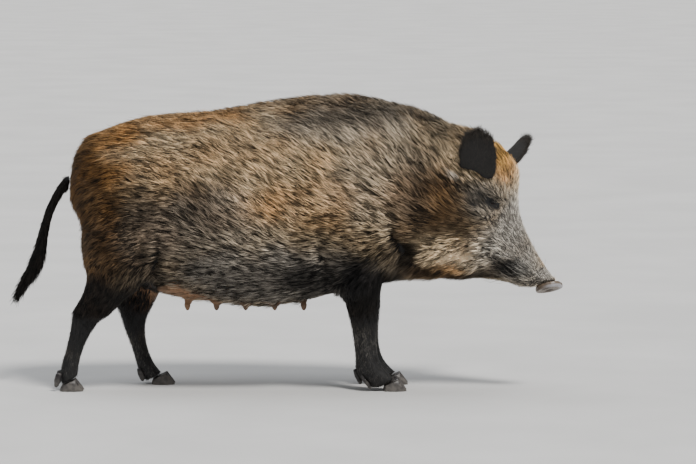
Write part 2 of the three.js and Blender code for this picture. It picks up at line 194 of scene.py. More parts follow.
class Paint:
    """A material, and the one way to add nodes to it."""

    def __init__(self, name):
        self.material = bpy.data.materials.new(name)
        self.material.use_nodes = True
        self.tree = self.material.node_tree
        self.shader = self.tree.nodes["Principled BSDF"]

    def node(self, kind, settings=None, sockets=None, out=0):
        """Adds a node: its type, its settings, what goes into its sockets, and which output is meant."""
        made = self.tree.nodes.new(kind)
        for key, value in (settings or {}).items():
            if key == "stops":
                self.set_stops(made.color_ramp, value)
            else:
                setattr(made, key, value)
        for key, value in (sockets or {}).items():
            self.feed(made.inputs[key], value)
        return Wire(self, made.outputs[out])

    def set_stops(self, ramp, stops):
        while len(ramp.elements) < len(stops):
            ramp.elements.new(0.5)
        for element, (place, shade) in zip(ramp.elements, stops):
            element.position = place
            element.color = (shade, shade, shade, 1)

    def feed(self, socket, value):
        if isinstance(value, Wire):
            self.tree.links.new(value.socket, socket)
        elif isinstance(value, tuple) and len(value) == 3 and socket.type == "RGBA":
            socket.default_value = (*value, 1)
        else:
            socket.default_value = value

    def set(self, **sockets):
        """Sets or links the shader's own sockets, such as Base_Color."""
        for key, value in sockets.items():
            self.feed(self.shader.inputs[key.replace("_", " ")], value)

    def mix(self, first, second, share):
        """A colour that goes from first to second as share goes from 0 to 1."""
        return self.node(
            "ShaderNodeMix", {"data_type": "RGBA", "clamp_factor": True},
            {SHARE: share, FIRST_COLOUR: first, SECOND_COLOUR: second}, out=COLOUR_OUT)

    def shade(self, colour, amount):
        """A colour multiplied by a grey amount."""
        grey = self.node("ShaderNodeCombineColor", {}, {0: amount, 1: amount, 2: amount})
        return self.node(
            "ShaderNodeMix", {"data_type": "RGBA", "blend_type": "MULTIPLY"},
            {SHARE: 1.0, FIRST_COLOUR: colour, SECOND_COLOUR: grey}, out=COLOUR_OUT)

    def values(self, attribute):
        """The three numbers of a vector attribute that the piece carries."""
        vector = self.node("ShaderNodeAttribute", {"attribute_name": attribute}, out=1)
        return [self.node("ShaderNodeSeparateXYZ", {}, {0: vector}, out=k) for k in range(3)]

    def place(self):
        return self.node("ShaderNodeTexCoord", out="Object")

    def noise(self, scale, detail=3.0):
        return self.node(
            "ShaderNodeTexNoise", {}, {"Vector": self.place(), "Scale": scale, "Detail": detail})

    def ramp(self, value, *stops):
        return self.node("ShaderNodeValToRGB", {"stops": stops}, {0: value})

    def bump(self, height, strength, distance):
        return self.node(
            "ShaderNodeBump", {}, {"Height": height, "Strength": strength, "Distance": distance})


def wear(piece, paint):
    """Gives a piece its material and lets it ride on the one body."""
    piece.data.materials.clear()
    piece.data.materials.append(paint.material)
    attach(piece, "root")


# %% Floor
FLOOR_SIZE = 80.0

floor_paint = Paint("pale_floor")
floor_grain = floor_paint.ramp(floor_paint.noise(2.5, 6.0), (0.35, 0.56), (0.7, 0.62))
floor_paint.set(Base_Color=floor_grain, Roughness=0.85)

bpy.ops.mesh.primitive_plane_add(size=FLOOR_SIZE, location=(0, 0, 0))
floor = bpy.context.object
floor.name = "floor"
floor.data.materials.append(floor_paint.material)
print("floor is", FLOOR_SIZE, "m wide")

# %% [markdown]
# ## Tools for points
# Much of the shaping below moves many points by a rule. The points are read into an array, changed all
# at once and written back, which is far quicker than touching them one by one. Two curves shape most
# of the rules: a soft step from 0 to 1, and a bell that is 1 at one place and fades to both sides.

# %% Selecting, copying and moving points
MERGE_WITHIN = 1e-5  # points this near each other become one


def select_only(*pieces):
    bpy.ops.object.select_all(action="DESELECT")
    for piece in pieces:
        piece.select_set(True)
    bpy.context.view_layer.objects.active = pieces[-1]


def copy_of(nodes, name):
    """One merged copy of some CAD nodes, free of the frame."""
    select_only(*[frame["nodes"][node] for node in nodes])
    bpy.ops.object.duplicate()
    if len(nodes) > 1:
        bpy.ops.object.join()
    bpy.ops.object.parent_clear(type="CLEAR_KEEP_TRANSFORM")
    made = bpy.context.object
    made.name = name
    made.data.materials.clear()
    for key in list(made.keys()):
        del made[key]
    bpy.ops.object.mode_set(mode="EDIT")
    bpy.ops.mesh.select_all(action="SELECT")
    bpy.ops.mesh.remove_doubles(threshold=MERGE_WITHIN)
    bpy.ops.object.mode_set(mode="OBJECT")
    return made


def apply_modifier(piece, kind, **settings):
    select_only(piece)
    modifier = piece.modifiers.new(kind.lower(), kind)
    for key, value in settings.items():
        setattr(modifier, key, value)
    bpy.ops.object.modifier_apply(modifier=modifier.name)


def points_of(piece):
    points = np.empty(len(piece.data.vertices) * 3)
    piece.data.vertices.foreach_get("co", points)
    return points.reshape(-1, 3)


def set_points(piece, points):
    piece.data.vertices.foreach_set("co", points.ravel())
    piece.data.update()


def normals_of(piece):
    normals = np.empty(len(piece.data.vertices) * 3)
    piece.data.vertices.foreach_get("normal", normals)
    return normals.reshape(-1, 3)


def relax(piece, weight, rounds):
    """Draws each point towards the middle of its neighbours, by a weight for each point."""
    points = points_of(piece)
    edges = np.empty(len(piece.data.edges) * 2, dtype=np.int32)
    piece.data.edges.foreach_get("vertices", edges)
    first, second = edges.reshape(-1, 2).T
    count = len(points)
    neighbours = np.maximum(np.bincount(edges, minlength=count), 1)
    for _ in range(rounds):
        for axis in range(3):
            values = points[:, axis]
            total = np.bincount(first, values[second], count) + np.bincount(second, values[first], count)
            points[:, axis] += weight * (total / neighbours - values)
    set_points(piece, points)


def smoothstep(low, high, values):
    t = np.clip((values - low) / (high - low), 0, 1)
    return t * t * (3 - 2 * t)


def bell(values, place, width):
    return np.exp(-((values - place) / width) ** 2)


def largest_part(piece):
    """Keeps only the largest loose part of a piece."""
    select_only(piece)
    bpy.ops.mesh.separate(type="LOOSE")
    parts = sorted(bpy.context.selected_objects, key=lambda part: len(part.data.vertices))
    kept = parts[-1]
    kept.name = piece.name
    for part in parts[:-1]:
        bpy.data.objects.remove(part)
    return kept


# %% [markdown]
# ## A groomer's chart
# Hair doesn't lie the same way everywhere. On this sow it streams up the face, back and upwards over
# the neck and ribs, straight back over the loin, down over the hams and straight down the legs. The
# chart names places on the side of the body. Each row gives the place (x and z), the angle of the
# hair above straight back, its length and the depth of the coat there, and what lies between two
# places takes after both.

# %% The groomer's chart
GROOM = {
    # place: (x, z, angle in degrees, hair length, depth of the coat)
    "loin top": (-0.26, 0.625, 14, 0.038, 0.013),
    "croup": (-0.38, 0.600, 3, 0.036, 0.012),
    "upper ham": (-0.42, 0.526, -12, 0.034, 0.011),
    "hip": (-0.30, 0.518, 22, 0.034, 0.012),
    "flank": (-0.18, 0.437, 44, 0.034, 0.011),
    "stifle": (-0.30, 0.445, 3, 0.034, 0.011),
    "buttock": (-0.50, 0.417, -60, 0.034, 0.011),
    "rump end": (-0.54, 0.520, -55, 0.034, 0.012),
    "thigh": (-0.38, 0.376, -20, 0.032, 0.010),
    "thigh front": (-0.26, 0.330, 8, 0.030, 0.010),
    "ribs behind": (-0.10, 0.559, 33, 0.038, 0.013),
    "ribs middle": (-0.02, 0.417, 35, 0.038, 0.013),
    "ribs low": (-0.06, 0.296, 18, 0.034, 0.011),
    "belly": (-0.10, 0.200, 0, 0.024, 0.007),
    "groin": (-0.27, 0.225, 0, 0.018, 0.005),
    "back": (0.05, 0.690, 4, 0.048, 0.018),
    "withers": (0.20, 0.678, 10, 0.052, 0.018),
    "shoulder top": (0.10, 0.579, 35, 0.042, 0.014),
    "shoulder": (0.22, 0.437, 30, 0.038, 0.013),
    "shoulder low": (0.14, 0.356, 18, 0.034, 0.012),
    "elbow": (0.06, 0.300, 8, 0.030, 0.010),
    "neck top": (0.26, 0.579, 50, 0.042, 0.014),
    "neck crest": (0.37, 0.640, 26, 0.052, 0.018),
    "nape": (0.46, 0.590, 42, 0.044, 0.014),
    "neck behind the ear": (0.35, 0.540, 56, 0.036, 0.012),
    "neck side": (0.33, 0.478, 46, 0.036, 0.012),
    "neck low": (0.33, 0.360, 16, 0.036, 0.012),
    "chest": (0.22, 0.296, -30, 0.036, 0.012),
    "throat": (0.35, 0.262, -10, 0.036, 0.012),
    "jaw corner": (0.41, 0.320, -12, 0.032, 0.011),
    "jaw": (0.40, 0.275, -26, 0.032, 0.010),
    "cheek": (0.45, 0.375, 14, 0.022, 0.007),
    "temple": (0.45, 0.450, 44, 0.018, 0.006),
    "forehead": (0.51, 0.559, 62, 0.030, 0.008),
    "forehead low": (0.53, 0.480, 72, 0.020, 0.006),
    "under the eye": (0.49, 0.400, 42, 0.013, 0.005),
    "nose bridge": (0.56, 0.370, 50, 0.011, 0.004),
    "muzzle side": (0.54, 0.310, 46, 0.010, 0.0035),
    "muzzle end": (0.60, 0.265, 48, 0.007, 0.003),
    "chin": (0.52, 0.255, 24, 0.016, 0.005),
    "hock side": (-0.42, 0.260, -62, 0.024, 0.006),
    "gaskin": (-0.34, 0.240, -78, 0.022, 0.006),
    "hind cannon": (-0.52, 0.110, -88, 0.014, 0.004),
    "hind cannon left": (-0.36, 0.110, -88, 0.014, 0.004),
    "hind pastern": (-0.53, 0.040, -88, 0.012, 0.0025),
    "hind pastern left": (-0.33, 0.040, -80, 0.012, 0.0025),
    "forearm": (0.17, 0.230, -82, 0.022, 0.006),
    "fore cannon": (0.17, 0.130, -90, 0.014, 0.004),
    "fore pastern": (0.20, 0.045, -72, 0.012, 0.0025),
}
CHART = np.array(list(GROOM.values()))
CHART_BLUR = 0.02  # keeps one place of the chart from ruling the hair right beside it


def share_of_head(points, start, full, low=0.20, high=0.26):
    """Rises from 0 to 1 along the muzzle's direction, and upwards, so that the forelegs stay out."""
    return smoothstep(start, full, to_head(points)[:, 0]) * smoothstep(low, high, points[:, 2])


def side_view(points):
    """Places in the side view, with the turned head's left side folded onto its right, and the share
    of the head in each place."""
    local = to_head(points)
    turned_in = share_of_head(points, -0.10, 0.0)
    local[:, 1] = -np.abs(local[:, 1])
    return points + turned_in[:, None] * (to_boar(local) - points), turned_in


def groomed(points):
    """Hair direction, hair length and coat depth at each point."""
    places, turned_in = side_view(points)
    gaps = np.hypot(places[:, None, 0] - CHART[None, :, 0], places[:, None, 2] - CHART[None, :, 1])
    weights = 1 / (gaps**2 + CHART_BLUR**2) ** 2
    weights /= weights.sum(axis=1, keepdims=True)
    angles, turn = np.radians(CHART[:, 2]), HEAD_YAW * turned_in
    backwards = -weights @ np.cos(angles)
    flow = np.stack([backwards * np.cos(turn), backwards * np.sin(turn), weights @ np.sin(angles)], axis=1)
    return flow, weights @ CHART[:, 3], weights @ CHART[:, 4]


print("places in the groomer's chart:", len(GROOM))

# %% [markdown]
# ## Teats
# Five pairs of teats hang from the belly in two even rows. The solids carry them as small points, which
# the smoothing of the skin would melt away. So their places are named first, and each later step spares
# them or works on them alone. They could be pieces of their own, but then a seam would show round each.

# %% Teats
TEAT_PAIRS = 5
FIRST_TEAT, TEAT_SPACING = -0.239, 0.068  # along the body
TEAT_OUT, TEAT_ROOT = 0.062, 0.205  # distance from the middle of the belly, and height of the root
TEAT_CEILING = 0.21  # nothing above this height belongs to a teat
TEATS = [(FIRST_TEAT + TEAT_SPACING * pair, TEAT_OUT, TEAT_ROOT) for pair in range(TEAT_PAIRS)]


def teat_share(points):
    """1 on the teats and 0 a little way round them."""
    near = np.full(len(points), 1.0)
    for x, y, _ in TEATS:
        near = np.minimum(near, np.hypot(points[:, 0] - x, np.abs(points[:, 1]) - y))
    return (1 - smoothstep(0.012, 0.020, near)) * (points[:, 2] < TEAT_CEILING)


print("teats on each side:", len(TEATS))

# %% [markdown]
# ## The skin
# A coat hides the skin, but the skin gives it its form, so it is made first. Copies of the flesh solids
# are joined, and a voxel remesh turns them into one even surface with no seams. The surface is then
# relaxed, strongly on the broad trunk and gently on the thin legs, until no facet is left, and pulled
# in by the depth of the coat. A second way would be to sculpt a skin from nothing, but then nothing
# would hold it to the solids' size.

# %% Skin: one even surface
SKIN_GRAIN = 0.007  # size of the remesh's cells
SOCKET_FILL = 0.016  # radius of the ball that closes each eye socket for now
SOCKET_OUT = 0.003  # how far outside the eyeball's middle that ball lies
FLESH = ["head", "lower_jaw", "neck", "trunk", *LEGS]

body = copy_of(FLESH, "skin")
fills = []
for _, side in SIDES:
    place = on_head(EYE.x, side * (EYE.y + SOCKET_OUT), EYE.z)
    bpy.ops.mesh.primitive_ico_sphere_add(radius=SOCKET_FILL, subdivisions=3, location=place)
    fills.append(bpy.context.object)
select_only(*fills, body)
bpy.ops.object.join()
apply_modifier(body, "REMESH", mode="VOXEL", voxel_size=SKIN_GRAIN)
skin = largest_part(body)
print("skin has", len(skin.data.polygons), "faces before the head is refined")

# %% Skin: relaxing and the coat's depth
TRUNK_ROUNDS, BUTTOCK_ROUNDS = 50, 80  # how often the broad parts are relaxed

points = points_of(skin)
on_teat = teat_share(points)
in_head = share_of_head(points, -0.06, 0.02)
in_leg = (1 - smoothstep(0.17, 0.27, points[:, 2])) * (1 - in_head)
spared = np.maximum(np.maximum(in_leg, in_head), on_teat)
buttock = smoothstep(-0.44, -0.50, points[:, 0]) * smoothstep(0.30, 0.36, points[:, 2])
relax(skin, 0.30 * (1 - 0.8 * on_teat), 6)
relax(skin, 0.5 * (1 - spared) + 0.04 * in_head, TRUNK_ROUNDS)
relax(skin, 0.5 * buttock, BUTTOCK_ROUNDS)
relaxed = points_of(skin)
_, _, depth = groomed(relaxed)
depth *= 1 - teat_share(relaxed)
set_points(skin, relaxed - normals_of(skin) * depth[:, None])
relax(skin, 0.3 * (1 - 0.9 * on_teat), 2)
print("coat depth runs from", round(depth.min() * 1000, 1), "to", round(depth.max() * 1000, 1), "mm")

# %% [markdown]
# ## Folds, lids and lips
# The fine forms come last. The mesh is cut finer where they lie: about half the remesh's cells over the
# head, a quarter round the mouth, and a fraction of a millimetre at the eyes. The teats are cut finer
# too and pushed out to round tips. Then strokes press the folds in. A stroke is a path over the side of
# the head or body, with a width and a depth, and works like a finger drawn through clay. A negative
# depth raises a ridge.


# %% Cutting the mesh finer
LID = (0.0245, 0.0245)  # the middle of the lids' opening, along the muzzle and up the forehead


def refine(piece, chosen):
    """Cuts in four the faces whose middles are chosen."""
    faces = piece.data.polygons
    middles = np.empty(len(faces) * 3)
    faces.foreach_get("center", middles)
    select_only(piece)
    bpy.ops.object.mode_set(mode="EDIT")
    bpy.ops.mesh.select_mode(type="FACE")
    bpy.ops.mesh.select_all(action="DESELECT")
    bpy.ops.object.mode_set(mode="OBJECT")
    faces.foreach_set("select", chosen(middles.reshape(-1, 3)))
    bpy.ops.object.mode_set(mode="EDIT")
    bpy.ops.mesh.subdivide(number_cuts=1)
    bpy.ops.object.mode_set(mode="OBJECT")


def near_eye(points, reach, narrow=1.0):
    """Places round the lids' opening, in a round area or in one made lower than it is long."""
    local = to_head(points)
    return np.hypot(local[:, 0] - LID[0], narrow * (local[:, 2] - LID[1])) < reach


def on_front(points, x, below):
    """Places on the head further down the muzzle than x, and below a height in the head's frame."""
    local = to_head(points)
    return (local[:, 0] > x) & (local[:, 2] < below) & (points[:, 2] > 0.2)


refine(skin, lambda points: on_front(points, -0.06, 1.0))
relax(skin, 0.5 * smoothstep(-0.06, -0.03, to_head(points_of(skin))[:, 0]), 2)
refine(skin, lambda points: on_front(points, 0.10, -0.015) | near_eye(points, 0.034))
refine(skin, lambda points: near_eye(points, 0.019))
refine(skin, lambda points: near_eye(points, 0.0135, 1.8))
relax(skin, 0.4 * near_eye(points_of(skin), 0.045), 3)

# %% Rounding the teats
TEAT_SIZE = np.array([0.0075, 0.0075, 0.0165])  # half its width along and across, and its length
for _ in range(2):
    refine(skin, lambda points: teat_share(points) > 0.5)
points = points_of(skin)
for teat in TEATS:
    for _, side in SIDES:
        out = (points - np.array(teat) * (1, side, 1)) / TEAT_SIZE
        reach = np.linalg.norm(out, axis=1, keepdims=True)
        inside = (reach < 1) & (out[:, 2:] < 0)
        points = np.where(inside, points + out * (1 / np.maximum(reach, 0.05) - 1) * TEAT_SIZE, points)
set_points(skin, points)
relax(skin, 0.4 * teat_share(points), 3)
skin.data.calc_loop_triangles()
print("skin has", len(skin.data.loop_triangles), "triangles")


# %% Strokes
def distance_to_path(places, path):
    """How far each place is from a path of straight steps, in the plane of the path."""
    best = np.full(len(places), 1e9)
    for start, end in zip(path, path[1:]):
        start, step = np.array(start), np.array(end) - np.array(start)
        t = np.clip(((places - start) @ step) / (step @ step), 0, 1)
        best = np.minimum(best, np.linalg.norm(places - start - t[:, None] * step, axis=1))
    return best


def press(places, path, width, depth):
    """How deep a stroke presses at each place."""
    return depth * bell(distance_to_path(places, path), 0, width)


HEAD_STROKES = (
    # path on the side of the head, along the muzzle and up the forehead; width; depth
    (((0.118, -0.0600), (0.150, -0.0580), (0.190, -0.0553), (0.236, -0.0520)), 0.0035, 0.0060),  # mouth
    (((0.112, -0.0560), (0.125, -0.0620), (0.130, -0.0700)), 0.0060, 0.0030),  # corner of the mouth
    (((0.118, -0.0470), (0.140, -0.0360), (0.160, -0.0250)), 0.0080, -0.0040),  # lip over the tusk
    (((0.140, -0.0500), (0.175, -0.0480), (0.215, -0.0440)), 0.0050, -0.0018),  # upper lip
    (((0.140, -0.0680), (0.180, -0.0650), (0.220, -0.0600)), 0.0060, -0.0018),  # lower lip
    (((0.060, -0.0050), (0.110, -0.0080), (0.160, -0.0060), (0.205, -0.0100)), 0.0140, 0.0040),  # muzzle
    (((0.040, -0.0060), (0.010, -0.0100), (-0.030, -0.0060)), 0.0110, -0.0040),  # cheekbone
    (((0.050, -0.0350), (0.075, -0.0500), (0.100, -0.0620)), 0.0120, 0.0040),  # under the cheek
    (((-0.004, 0.0430), (0.020, 0.0460), (0.046, 0.0420)), 0.0080, -0.0045),  # brow
    (((0.002, 0.0300), (0.010, 0.0370), (0.030, 0.0380), (0.044, 0.0320)), 0.0026, 0.0022),  # lid fold
    (((0.004, 0.0140), (0.018, 0.0085), (0.036, 0.0100)), 0.0026, 0.0020),  # bag under the eye
    (((-0.008, 0.0080), (0.012, -0.0010), (0.036, 0.0000)), 0.0030, 0.0018),
    (((0.038, 0.0220), (0.052, 0.0140), (0.070, 0.0100)), 0.0060, 0.0020),  # below the inner corner
    (((0.240, 0.0060), (0.242, -0.0140), (0.236, -0.0480)), 0.0060, -0.0035),  # collar of the disc
    (((0.210, 0.0100), (0.212, -0.0120), (0.208, -0.0300)), 0.0028, 0.0014),  # wrinkles of the nose
    (((0.222, 0.0080), (0.224, -0.0130), (0.219, -0.0320)), 0.0028, 0.0016),
    (((0.234, 0.0060), (0.236, -0.0140), (0.230, -0.0340)), 0.0028, 0.0016),
)
BODY_STROKES = (
    # side (0 for both); path, along the body and up; width; depth
    (0, ((0.253, 0.367), (0.277, 0.336), (0.293, 0.305), (0.317, 0.282)), 0.020, 0.010),  # behind the jowl
    (0, ((0.340, 0.330), (0.400, 0.318), (0.440, 0.312)), 0.020, -0.004),  # jowl
    (0, ((-0.287, 0.325), (-0.306, 0.290), (-0.329, 0.250)), 0.016, 0.010),  # before the thigh
    (0, ((0.080, 0.340), (0.098, 0.300), (0.108, 0.262)), 0.020, 0.006),  # behind the elbow
    (0, ((0.270, 0.330), (0.262, 0.292)), 0.014, 0.006),  # before the shoulder
    (0, ((0.160, 0.145), (0.167, 0.080), (0.180, 0.040)), 0.0045, 0.0035),  # tendons of the foreleg
    (0, ((0.188, 0.130), (0.196, 0.080), (0.212, 0.050)), 0.0045, 0.0025),
    (0, ((0.178, 0.150), (0.180, 0.165)), 0.018, -0.0030),  # knee
    (RIGHT, ((-0.480, 0.270), (-0.505, 0.230), (-0.520, 0.190)), 0.0080, 0.0040),  # hock
    (RIGHT, ((-0.505, 0.150), (-0.520, 0.090), (-0.528, 0.050)), 0.0045, 0.0030),  # hind cannon
    (LEFT, ((-0.400, 0.250), (-0.395, 0.215), (-0.385, 0.180)), 0.0080, 0.0040),
    (LEFT, ((-0.365, 0.140), (-0.350, 0.090), (-0.338, 0.055)), 0.0045, 0.0030),
)

points = points_of(skin)
local = to_head(points)
sink = np.zeros(len(points))
for path, width, stroke_depth in HEAD_STROKES:
    sink += press(local[:, [0, 2]], path, width, stroke_depth)
sink *= smoothstep(0.004, 0.016, np.abs(local[:, 1])) * smoothstep(-0.09, -0.04, local[:, 0])
for side, path, width, stroke_depth in BODY_STROKES:
    outer = smoothstep(0.01, 0.05, points[:, 1] * side if side else np.abs(points[:, 1]))
    sink += press(points[:, [0, 2]], path, width, stroke_depth) * outer
set_points(skin, points - normals_of(skin) * sink[:, None])
print("strokes:", len(HEAD_STROKES) + len(BODY_STROKES))

# %% [markdown]
# ## The eyelids
# The opening is an almond whose inner corner points down the muzzle. Skin inside it is drawn behind the
# eyeball, and skin round it is laid over the ball, a lid's thickness out, so that the ball sits as
# deep as a real one.

# %% Eyelids
LID_HALF_LENGTH, LID_HALF_HEIGHT = 0.0112, 0.0036
LID_TILT = math.radians(14)
LID_THICKNESS = 0.0014
BEHIND = 0.0030  # how far behind the ball's surface the hidden skin lies
LID_ROLL = (0.0012, 0.0022, 0.0014)  # height, distance from the opening and width of the lid's rolled rim
LID_CREASE = (0.0016, 0.0052, 0.0012)  # the same for the crease above it, as a depth
LID_COVER = (0.0045, 0.0125)  # the lid follows the ball up to the first distance and fades to the second

points = points_of(skin)
local = to_head(points)
for _, side in SIDES:
    middle = np.array([EYE.x, side * EYE.y, EYE.z])
    out = local - middle
    here = (np.sign(local[:, 1]) == side) & (np.linalg.norm(out, axis=1) < 0.04)
    across, rise = local[:, 0] - LID[0], local[:, 2] - LID[1]
    along = across * math.cos(LID_TILT) + rise * math.sin(LID_TILT)
    above = rise * math.cos(LID_TILT) - across * math.sin(LID_TILT)
    open_height = LID_HALF_HEIGHT * np.clip(1 - (along / LID_HALF_LENGTH) ** 2, 0, 1)
    beyond = np.hypot(np.maximum(np.abs(along) - LID_HALF_LENGTH, 0), np.abs(above) - open_height)
    beyond = np.where((np.abs(above) < open_height) & (np.abs(along) < LID_HALF_LENGTH), -beyond, beyond)
    reach = np.linalg.norm(out, axis=1)
    lid = EYEBALL_RADIUS + LID_THICKNESS + LID_ROLL[0] * bell(beyond, *LID_ROLL[1:])
    lid = lid - LID_CREASE[0] * bell(beyond, *LID_CREASE[1:]) * (above > -0.001)
    cover = 1 - smoothstep(*LID_COVER, beyond)
    target = reach + cover * (lid - reach)
    target = np.where(beyond < -0.0002, EYEBALL_RADIUS - BEHIND, target)
    scaled = middle + out * (target / np.maximum(reach, 1e-6))[:, None]
    local = np.where(here[:, None], scaled, local)
set_points(skin, to_boar(local))
print("lids open", round(2000 * LID_HALF_LENGTH, 1), "by", round(2000 * LID_HALF_HEIGHT, 1), "mm")

# %% [markdown]
# ## Markings
# The sow's coat isn't one brown. It is rusty over the rump, tan along the ribs, sooty on the legs and
# in a band under the crest, and grizzled on the face. Each marking is a soft round patch with a place,
# a size and an amount, and noise frays its edge. A few patches are painted light and shade: black
# painted shade in the crease behind the jowl, under the jaw and under the upper lip, and a small pale
# painted glint at the root of each ear. Skin and hair both read the same patches, so that where the
# hair parts the skin under it has the same colour.

# %% The markings
KINDS = ("rust", "grey", "black", "gold", "pale", "bare")
MARKINGS = (
    # kind, x, z, reach along x, reach along z, amount
    ("rust", -0.44, 0.600, 0.15, 0.06, 0.90),
    ("rust", -0.24, 0.640, 0.22, 0.05, 0.65),
    ("rust", -0.48, 0.440, 0.15, 0.22, 0.90),
    ("rust", -0.12, 0.520, 0.30, 0.10, 0.25),
    ("rust", -0.30, 0.400, 0.10, 0.08, 0.45),
    ("rust", 0.33, 0.440, 0.08, 0.09, 0.60),
    ("rust", 0.09, 0.435, 0.15, 0.06, 0.42),
    ("rust", -0.15, 0.430, 0.13, 0.06, 0.42),
    ("rust", 0.37, 0.285, 0.09, 0.03, 0.60),
    ("black", 0.37, 0.280, 0.06, 0.02, 0.45),
    ("rust", 0.00, 0.665, 0.22, 0.03, 0.35),
    ("rust", 0.505, 0.530, 0.03, 0.06, 0.70),
    ("grey", -0.20, 0.370, 0.20, 0.09, 0.55),
    ("grey", 0.00, 0.270, 0.30, 0.08, 0.85),
    ("grey", 0.24, 0.480, 0.12, 0.12, 0.35),
    ("grey", 0.18, 0.610, 0.20, 0.06, 0.55),
    ("grey", 0.53, 0.340, 0.09, 0.13, 0.80),
    ("grey", 0.46, 0.440, 0.06, 0.05, 0.70),
    ("black", -0.47, 0.480, 0.10, 0.13, 0.72),
    ("black", -0.40, 0.400, 0.14, 0.12, 0.76),
    ("black", -0.36, 0.290, 0.14, 0.07, 0.80),
    ("black", -0.05, 0.255, 0.34, 0.06, 0.42),
    ("black", 0.08, 0.275, 0.09, 0.05, 0.85),
    ("black", 0.18, 0.260, 0.09, 0.06, 0.90),
    ("black", 0.20, 0.622, 0.20, 0.035, 0.58),
    ("black", 0.37, 0.560, 0.08, 0.050, 0.45),
    ("black", 0.35, 0.430, 0.09, 0.10, 0.73),
    # painted shade in the crease behind the jowl, laid over dark fur there
    ("black", 0.265, 0.358, 0.028, 0.035, 0.80),
    ("black", 0.290, 0.325, 0.036, 0.042, 0.92),
    ("black", 0.335, 0.288, 0.060, 0.022, 0.85),
    # painted shade in the fold under the jaw
    ("black", 0.44, 0.272, 0.07, 0.016, 0.80),
    ("black", -0.20, 0.415, 0.08, 0.075, 0.60),
    ("black", -0.20, 0.320, 0.11, 0.09, 0.38),
    ("black", 0.445, 0.452, 0.052, 0.028, 0.74),
    ("black", 0.478, 0.442, 0.022, 0.018, 0.85),
    # painted shade under the upper lip, over the lower lip's dark hair
    ("black", 0.525, 0.288, 0.046, 0.024, 0.92),
    ("black", 0.19, 0.225, 0.11, 0.12, 0.97),
    ("black", -0.44, 0.220, 0.16, 0.13, 0.97),
    ("black", -0.48, 0.170, 0.10, 0.11, 0.96),
    ("black", 0.33, 0.535, 0.08, 0.05, 0.40),
    ("black", 0.12, 0.345, 0.10, 0.06, 0.50),
    ("black", -0.34, 0.190, 0.08, 0.11, 0.97),
    ("black", 0.0, 0.000, 3.0, 0.20, 0.76),
    ("grey", 0.0, 0.000, 3.0, 0.20, 1.00),
    ("gold", 0.28, 0.676, 0.06, 0.012, 0.60),
    ("gold", 0.35, 0.656, 0.05, 0.014, 0.80),
    ("gold", 0.42, 0.628, 0.05, 0.016, 0.90),
    ("gold", 0.47, 0.612, 0.05, 0.02, 0.90),
    ("gold", 0.500, 0.560, 0.035, 0.06, 0.90),
    ("gold", 0.46, 0.545, 0.02, 0.05, 0.45),
    ("pale", 0.42, 0.328, 0.08, 0.028, 0.20),
    ("pale", 0.52, 0.385, 0.035, 0.07, 0.70),
    ("pale", 0.48, 0.345, 0.05, 0.04, 0.40),
    ("pale", 0.505, 0.318, 0.025, 0.008, 0.60),
    ("pale", 0.56, 0.300, 0.03, 0.04, 0.45),
    ("pale", 0.600, 0.272, 0.03, 0.02, 0.90),
    # a painted glint at the root of each ear
    ("pale", 0.395, 0.490, 0.010, 0.010, 0.50),
    ("bare", -0.25, 0.225, 0.13, 0.055, 1.00),
    ("bare", -0.02, 0.200, 0.16, 0.020, 0.50),
)
MARK_FULL, MARK_END = 0.45, 1.35  # where a marking starts to fade and where it ends, in reaches
FRAY = 0.35  # how far noise moves the edge of a marking, as a share of its size
FRAY_GRAIN = 14.0
FRAY_APART = Vector((31.7, 12.9, 57.3))  # how far from the first noise the second one is read
RUSTY_STREAKS = 0.30  # how much rust the noise adds or takes away all over


def fray_at(points):
    """Two independent noises, about -1 to 1, at each place."""
    places = [Vector(point) * FRAY_GRAIN for point in points]
    return np.array([(noise.noise(place), noise.noise(place + FRAY_APART)) for place in places])


def marks_at(points):
    """How much of each kind of marking lies at each place, one column for each kind."""
    fray = fray_at(points)
    points, _ = side_view(points)
    amounts = np.zeros((len(points), len(KINDS)))
    for kind, x, z, wide, high, amount in MARKINGS:
        column = KINDS.index(kind)
        out = np.hypot((points[:, 0] - x) / wide, (points[:, 2] - z) / high)
        out += FRAY * fray[:, column % 2]  # the kinds take turns with the two noises
        spot = amount * (1 - smoothstep(MARK_FULL, MARK_END, out))
        amounts[:, column] = np.maximum(amounts[:, column], spot)
    rust = KINDS.index("rust")
    amounts[:, rust] = np.clip(amounts[:, rust] + RUSTY_STREAKS * fray[:, 1], 0, 1)
    return amounts


def all_black(points):
    """The markings of ears and tail, which are black all over."""
    amounts = np.zeros((len(points), len(KINDS)))
    amounts[:, KINDS.index("black")] = 0.97
    return amounts


def carry_marks(piece, amounts):
    """Stores the markings on a piece's points, three kinds to a vector."""
    for name, first in (("marks_a", 0), ("marks_b", 3)):
        layer = piece.data.attributes.new(name, "FLOAT_VECTOR", "POINT")
        layer.data.foreach_set("vector", np.ascontiguousarray(amounts[:, first:first + 3]).ravel())


print("markings:", len(MARKINGS), "of", len(KINDS), "kinds")

# %% [markdown]
# ## Hair colours
# A boar's bristle is dark at its root and pale near its tip, which is what makes the coat look
# grizzled. The material mixes a root colour and a tip colour along each tuft. Markings change both,
# and each tuft and each lock of tufts is a little lighter or darker than the next.


# %% Colours
def tint(red, green, blue):
    """A colour as seen on a screen, 0 to 255, turned into the amounts of light a shader needs."""
    return tuple(
        (value / 255 / 12.92) if value < 10 else ((value / 255 + 0.055) / 1.055) ** 2.4
        for value in (red, green, blue))


HAIR_TIP, HAIR_ROOT = tint(252, 224, 182), tint(24, 19, 15)
MARKED_HAIR = {  # colours of the hair's tip and root in each kind of marking
    "rust": (tint(234, 172, 100), tint(38, 23, 12)),
    "grey": (tint(200, 194, 185), tint(23, 22, 24)),
    "black": (tint(17, 18, 24), tint(5, 5, 7)),
    "gold": (tint(252, 200, 112), tint(90, 58, 28)),
    "pale": (tint(244, 240, 230), tint(96, 90, 84)),
}
BARE_SKIN = tint(132, 98, 70)


